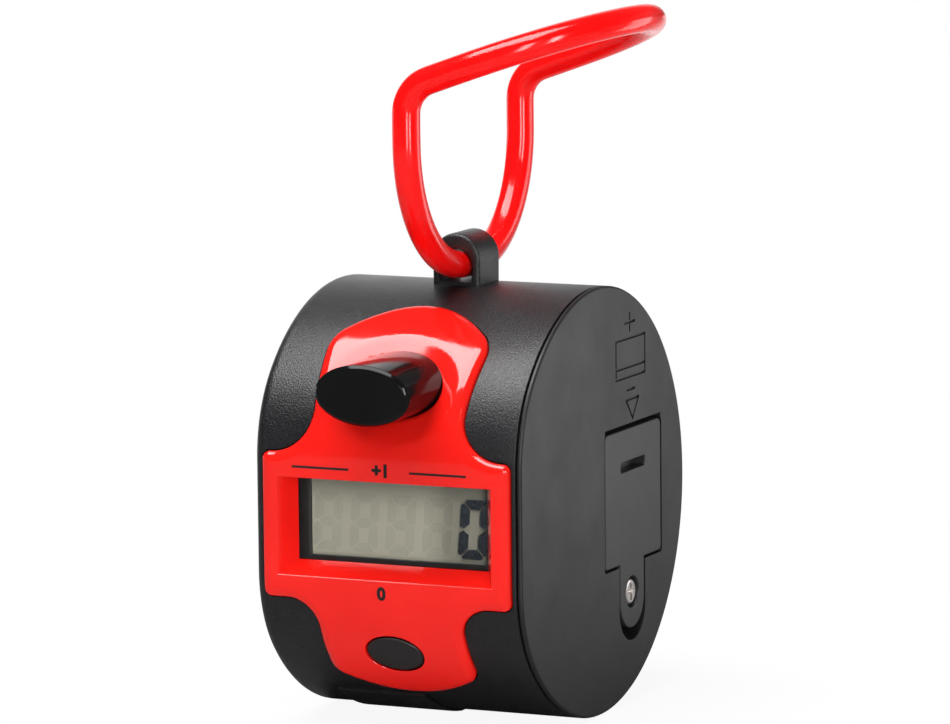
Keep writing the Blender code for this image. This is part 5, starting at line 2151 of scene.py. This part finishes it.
@dataclass
class PressButton:
    """A button: an elliptical post with a sloped, chamfered end, a retaining flange and a stem."""

    name: str
    body: Body
    node: str
    opening: Opening
    end_y: float
    slope: float
    chamfer: float
    soften: float
    finish: GlossPlastic
    flange_y: float = -12.3 * MM
    flange_thickness: float = 0.8 * MM
    overhang: float = 1.1 * MM
    stem_radius: float = 1.5 * MM
    stem_end: float = -10.25 * MM
    reach: float = 15.0 * MM
    stem_root: float = 0.2 * MM
    flange_root: float = 0.05 * MM

    CHAMFER_LEAN: ClassVar[Point] = (0.2, 0.97)

    @property
    def normal(self) -> Vector:
        """The inward direction across the sloped end."""
        return Vector((0, math.cos(self.slope), math.sin(self.slope)))

    @property
    def middle(self) -> Vector:
        """The middle of the sloped end."""
        return Vector((DRUM.middle, self.end_y, self.opening.height))

    def in_end(self, edge: bmesh.types.BMEdge) -> bool:
        """Whether an edge lies in the sloped end."""
        normal, middle = self.normal, self.middle
        return all(abs((vert.co - middle).dot(normal)) < 2 * SAME_PLACE for vert in edge.verts)

    def is_chamfer(self, face: bmesh.types.BMFace) -> bool:
        """Whether a face belongs to the chamfer between the end and the post's side.

        Args:
            face: the face.

        Returns:
            Whether it does.
        """
        near = abs((face.calc_center_median() - self.middle).dot(self.normal)) < self.chamfer * 1.5
        steepest, flattest = self.CHAMFER_LEAN
        return near and steepest < -face.normal.dot(self.normal) < flattest

    def post(self, start: float) -> Piece:
        """The post, cut to its slope and chamfered, with both edges of the chamfer rounded.

        Args:
            start: where it starts, at the flange's back.

        Returns:
            The closed solid.
        """
        far = self.end_y - self.opening.half_height - OVERSHOOT
        spread = -self.opening.gap
        post = self.opening.cutter(self.name, [(-start, spread), (-far, spread)])
        with shaping(post):
            take_all()
            bpy.ops.mesh.bisect(
                plane_co=self.middle, plane_no=self.normal, use_fill=True, clear_inner=True, threshold=SLIVER
            )
        bevel(post, self.chamfer, self.in_end, 1)
        with shaping(post):
            pick_faces(post, self.is_chamfer)
            bpy.ops.mesh.region_to_loop()
            round_off(self.soften)
        return post

    def flange(self, start: float) -> Piece:
        """The flange that keeps the button in, cut off where the drum's wall comes close.

        Args:
            start: where its back is.

        Returns:
            The closed solid.
        """
        spread = self.overhang - self.opening.gap
        levels = [(self.flange_root - start, spread), (-self.flange_y, spread)]
        flange = self.opening.cutter("flange", levels)
        side = math.copysign(1, self.opening.height)
        with shaping(flange):
            take_all()
            bpy.ops.mesh.bisect(
                plane_co=(0, 0, side * self.reach),
                plane_no=(0, 0, side),
                use_fill=True,
                clear_outer=True,
                threshold=SLIVER,
            )
        return flange

    def build(self) -> Piece:
        """Models the button.

        Returns:
            The finished mesh.
        """
        start = self.flange_y + self.flange_thickness
        button = self.post(start)
        centre = (DRUM.middle, self.opening.height)
        stem = rod("stem", Facing.FRONT, centre, self.stem_radius, start - self.stem_root, self.stem_end)
        fuse(button, self.flange(start), stem)
        clean(button, SAME_PLACE)
        return hand_over(button, self.finish.material(), self.body, [self.node], flat=True)


COUNT_BUTTON = PressButton(
    name="long_button",
    body=Body.COUNT_KEY,
    node="count_button",
    opening=COUNT_OPENING,
    end_y=-24.85 * MM,
    slope=math.radians(8),
    chamfer=0.36 * MM,
    soften=0.07 * MM,
    finish=BUTTON_BLACK,
)
RESET_BUTTON = PressButton(
    name="small_button",
    body=Body.RESET_KEY,
    node="reset_button",
    opening=RESET_OPENING,
    end_y=-17.811 * MM,
    slope=math.radians(36.3),
    chamfer=0.16 * MM,
    soften=0.04 * MM,
    finish=RESET_BLACK,
)


@dataclass
class FingerRing:
    """The ring of coated wire, bent back over the drum."""

    wire: float = 1.4 * MM
    pivot: Place = (14.425 * MM, 0.0, 23.33 * MM)
    straight: float = 1.25 * MM
    half: float = 13.67 * MM
    bowl: float = 12.76 * MM
    leg: float = 2.82 * MM
    bend: float = 3.56 * MM
    rise: float = math.radians(18.23)
    reach: float = 4.0 * MM
    nose: float = 13.63 * MM
    lean: float = math.radians(-1.09)
    cock: float = math.radians(-2.05)
    smooth: float = math.radians(60)
    quarter_steps: int = 18
    bend_steps: int = 10
    reach_steps: int = 5
    spline_steps: int = 3
    wire_steps: int = 8

    def half_path(self) -> list[Vector]:
        """The wire's middle line from the lug round one side to the nose.

        Returns:
            Its points, with the pivot as origin.
        """
        line = [Vector((0, 0, 0))]
        bowl_width = self.half - self.straight
        for i in range(self.quarter_steps + 1):
            turn = QUARTER * i / self.quarter_steps
            side = self.straight + bowl_width * math.sin(turn)
            line.append(Vector((0, side, self.bowl * (1 - math.cos(turn)))))
        bend_z = self.bowl + self.leg
        for i in range(self.bend_steps + 1):
            turn = (QUARTER - self.rise) * i / self.bend_steps
            reach = self.bend * (1 - math.cos(turn))
            line.append(Vector((reach, self.half, bend_z + self.bend * math.sin(turn))))
        along = Vector((math.cos(self.rise), 0, math.sin(self.rise)))
        out = Vector((0, self.half, 0))
        corner = line[-1] - out
        for i in range(1, self.reach_steps + 1):
            line.append(corner + along * (self.reach * i / self.reach_steps) + out)
        start = corner + along * self.reach
        for i in range(1, self.quarter_steps + 1):
            turn = QUARTER * i / self.quarter_steps
            line.append(start + along * (self.nose * math.sin(turn)) + out * math.cos(turn))
        return line

    def path(self) -> list[Vector]:
        """The whole ring's middle line, leaned and cocked as it stands.

        Returns:
            Its points once round, from the lug.
        """
        half = self.half_path()
        other = [Vector((point.x, -point.y, point.z)) for point in half[1:-1]]
        turn = Matrix.Rotation(self.lean, 3, "Y") @ Matrix.Rotation(self.cock, 3, "X")
        return [turn @ point + Vector(self.pivot) for point in half + other[::-1]]

    def build(self) -> Piece:
        """Bends the wire along its line and closes it into a ring.

        Returns:
            The finished mesh.
        """
        line = self.path()
        bpy.ops.curve.primitive_nurbs_circle_add(radius=MM)
        ring = bpy.context.object
        curve = ring.data
        curve.splines.clear()
        spline = curve.splines.new("NURBS")
        spline.points.add(len(line) - 1)
        for spot, point in zip(spline.points, line):
            spot.co = (*point, 1)
        spline.order_u = 4
        spline.use_cyclic_u = True
        spline.resolution_u = self.spline_steps
        curve.dimensions = "3D"
        curve.resolution_u = curve.render_resolution_u = self.spline_steps
        curve.bevel_depth = self.wire
        curve.bevel_resolution = self.wire_steps
        activate(ring)
        bpy.ops.object.convert(target="MESH")
        settle("wire_ring")
        clean(ring, SAME_PLACE)
        return hand_over(ring, RING_RED.material(), Body.RING, ["finger_ring"], self.smooth)


@dataclass
class Insides:
    """Finishes for the parts that keep the model's own shapes."""

    DRESSED: ClassVar[dict[str, PlainSurface | ClearSheet]] = {
        "circuit_board": BOARD_GREEN,
        "chip_blob": RESIN_BLACK,
        "chip_capacitor": CERAMIC_BROWN,
        "count_switch": RESIN_BLACK,
        "count_plunger": RESIN_BLACK,
        "reset_switch": RESIN_BLACK,
        "reset_plunger": RESIN_BLACK,
        "lcd_connector": LAYERED_RUBBER,
        "lcd_reflector": REFLECTOR_FILM,
        "lcd_frame": FRAME_BLACK,
        "lcd_front_glass": DISPLAY_GLASS,
        "lcd_rear_glass": DISPLAY_GLASS,
        "positive_contact": STEEL,
        "negative_contact": STEEL,
    }

    def build(self) -> None:
        """Gives each kept node its finish. Clear sheets cast no shadow on the display."""
        made = {finish: finish.material() for finish in dict.fromkeys(self.DRESSED.values())}
        for name, finish in self.DRESSED.items():
            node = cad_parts[name]
            node.data.materials.clear()
            node.data.materials.append(made[finish])
            node.visible_shadow = not isinstance(finish, ClearSheet)
            log.info("%s: finished", name)


@dataclass(frozen=True)
class Lamp:
    """A soft rectangular lamp: where it stands, its width and height, and its watts."""

    name: str
    place: Place
    size: Point
    power: float
    level: bool = False

    def light(self, target: Vector) -> None:
        """Sets it up, looking at the target, or straight down where it is level.

        Args:
            target: what it looks at.
        """
        bpy.ops.object.light_add(type="AREA", location=self.place)
        lamp = bpy.context.object
        lamp.name = self.name
        lamp.visible_camera = False
        lamp.data.shape = "RECTANGLE"
        lamp.data.size, lamp.data.size_y = self.size
        lamp.data.energy = self.power
        if not self.level:
            lamp.rotation_euler = (target - Vector(self.place)).to_track_quat("-Z", "Y").to_euler()


@dataclass
class Studio:
    """The floor, the lamps and the camera."""

    pan: float = math.radians(24.43)
    tilt: float = math.radians(8.02)
    roll: float = math.radians(-0.58)
    distance: float = 600 * MM
    shift: Point = (0.65 * MM, 13.22 * MM)
    focal_pixels: float = 5984.0
    sensor: float = 36.0
    lit_height: float = 8 * MM
    dim: float = 0.07
    near_white: Point = (0.92, 0.03)
    full_white: Point = (1.0, 0.16)
    floor_glossy: float = 0.17
    floor_bounced: float = 0.72
    floor_seen: float = 0.8
    floor_size: float = 8.0
    floor_back: tuple[float, ...] = (0, 1, 0.03, 0.20)
    floor_left: tuple[float, ...] = (1, 0.25, 0.0, 0.1)
    far_back: tuple[float, ...] = (0, 1, 0.5, 0.75)
    far_left: tuple[float, ...] = (1, 0.05, -0.4, -0.1)
    clip: Point = (0.01, 20.0)

    LAMPS: ClassVar[tuple[Lamp, ...]] = (
        Lamp("overhead", (-0.12, -0.19, 0.62), (0.60, 0.42), 7.4, level=True),
        Lamp("front_right", (0.34, -0.56, 0.13), (0.10, 0.36), 1.3),
        Lamp("right_strip", (0.52, -0.36, 0.13), (0.08, 0.30), 1.2),
        Lamp("behind", (0.50, 0.55, 0.06), (0.7, 0.6), 0.15),
        Lamp("near_right", (0.10, 0.075, 0.015), (0.05, 0.08), 0.03),
    )

    def floor_tone(self, bench: NodeBench) -> Socket:
        """The floor's grey, darker in gloss than in what it bounces.

        Args:
            bench: the floor's nodes.

        Returns:
            The colour.
        """
        path = bench.add("ShaderNodeLightPath").outputs
        glossy, bounced, seen = self.floor_glossy, self.floor_bounced, self.floor_seen
        tone = bench.blend(path["Is Diffuse Ray"], (glossy,) * 3, (bounced,) * 3)
        return bench.blend(path["Is Camera Ray"], tone, (seen,) * 3)

    def floor(self, height: float) -> None:
        """A plain pale floor that keeps the object's shadow and fades to white.

        Args:
            height: how high it lies.
        """
        bpy.ops.mesh.primitive_plane_add(size=self.floor_size, location=(0, 0, height))
        floor = bpy.context.object
        floor.name = "floor"
        bench = NodeBench("floor_white")
        away = bench.add("ShaderNodeVectorMath", {"operation": "LENGTH"})
        bench.feed(away, 0, bench.place)
        (near_share, near), (full_share, full) = self.near_white, self.full_white
        fade = bench.add(
            "ShaderNodeMapRange",
            {"interpolation_type": "SMOOTHSTEP"},
            Value=away.outputs["Value"],
            From_Min=near,
            From_Max=full,
            To_Min=near_share,
            To_Max=full_share,
        )
        place = bench.add("ShaderNodeSeparateXYZ", Vector=bench.place).outputs
        back = bench.spread(place["Y"], *self.floor_back)
        left = bench.spread(place["X"], *self.floor_left)
        shown = bench.shows_backdrop(bench.math("MULTIPLY", back, left))
        share = bench.math("MULTIPLY", fade.outputs["Result"], shown)
        paper = bench.add("ShaderNodeBsdfDiffuse", Color=self.floor_tone(bench))
        white = bench.add("ShaderNodeEmission", Color=(1, 1, 1, 1), Strength=1.0)
        floor.data.materials.append(bench.finish(bench.mix(share, paper, white)))
        floor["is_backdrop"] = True

    def world(self) -> None:
        """A plain dim surround, white behind the object."""
        world = bpy.data.worlds.new("surround")
        bpy.context.scene.world = world
        bench = NodeBench("surround", world)
        way = bench.add("ShaderNodeTexCoord").outputs["Generated"]
        way = bench.add("ShaderNodeSeparateXYZ", Vector=way).outputs
        back = bench.spread(way["Y"], *self.far_back)
        left = bench.spread(way["X"], *self.far_left)
        shown = bench.shows_backdrop(bench.math("MULTIPLY", back, left))
        dim = bench.add("ShaderNodeBackground", Color=(1, 1, 1, 1), Strength=self.dim)
        white = bench.add("ShaderNodeBackground", Color=(1, 1, 1, 1), Strength=1.0)
        bench.finish(bench.mix(shown, dim, white))

    def camera(self) -> None:
        """The camera at the photograph's place, turned and rolled as its fit says."""
        level = Vector((math.cos(self.pan), math.sin(self.pan), 0))
        flat = math.cos(self.tilt)
        back = Vector((math.sin(self.pan) * flat, -math.cos(self.pan) * flat, math.sin(self.tilt)))
        up = back.cross(level)
        right = math.cos(self.roll) * level + math.sin(self.roll) * up
        top = math.cos(self.roll) * up - math.sin(self.roll) * level
        place = Vector((DRUM.middle, 0, 0)) + back * self.distance
        place += right * self.shift[0] + top * self.shift[1]
        turn = Matrix((right, top, back)).transposed().to_euler()
        bpy.ops.object.camera_add(location=place, rotation=turn)
        camera = bpy.context.object
        camera.data.sensor_width = self.sensor
        camera.data.lens = self.focal_pixels * self.sensor / IMAGE_WIDTH
        camera.data.clip_start, camera.data.clip_end = self.clip
        bpy.context.scene.camera = camera

    def build(self, height: float) -> None:
        """Sets the stage on a floor.

        Args:
            height: how high the floor lies.
        """
        self.floor(height)
        for lamp in self.LAMPS:
            lamp.light(Vector((DRUM.middle, 0, self.lit_height)))
        self.world()
        self.camera()
        bpy.context.scene.view_settings.view_transform = "Standard"


def main() -> None:
    """Builds every piece in order, and sets the stage on a floor at the bottom of the model's box."""
    logging.basicConfig(level=logging.INFO, format="%(name)s %(message)s")
    cad_box = [list(corner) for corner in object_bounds()]
    plate = FacePlate()
    plate.build()
    Prints().build()
    pad = SolePad()
    pad.build()
    HousingShell().build(plate, pad)
    BatteryCap().build()
    BatteryDoor().build()
    DoorScrew().build()
    Display().build()
    ButtonCell().build()
    COUNT_BUTTON.build()
    RESET_BUTTON.build()
    FingerRing().build()
    Insides().build()
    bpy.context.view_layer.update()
    Studio().build(cad_box[0][2])


if __name__ == "__main__":
    main()
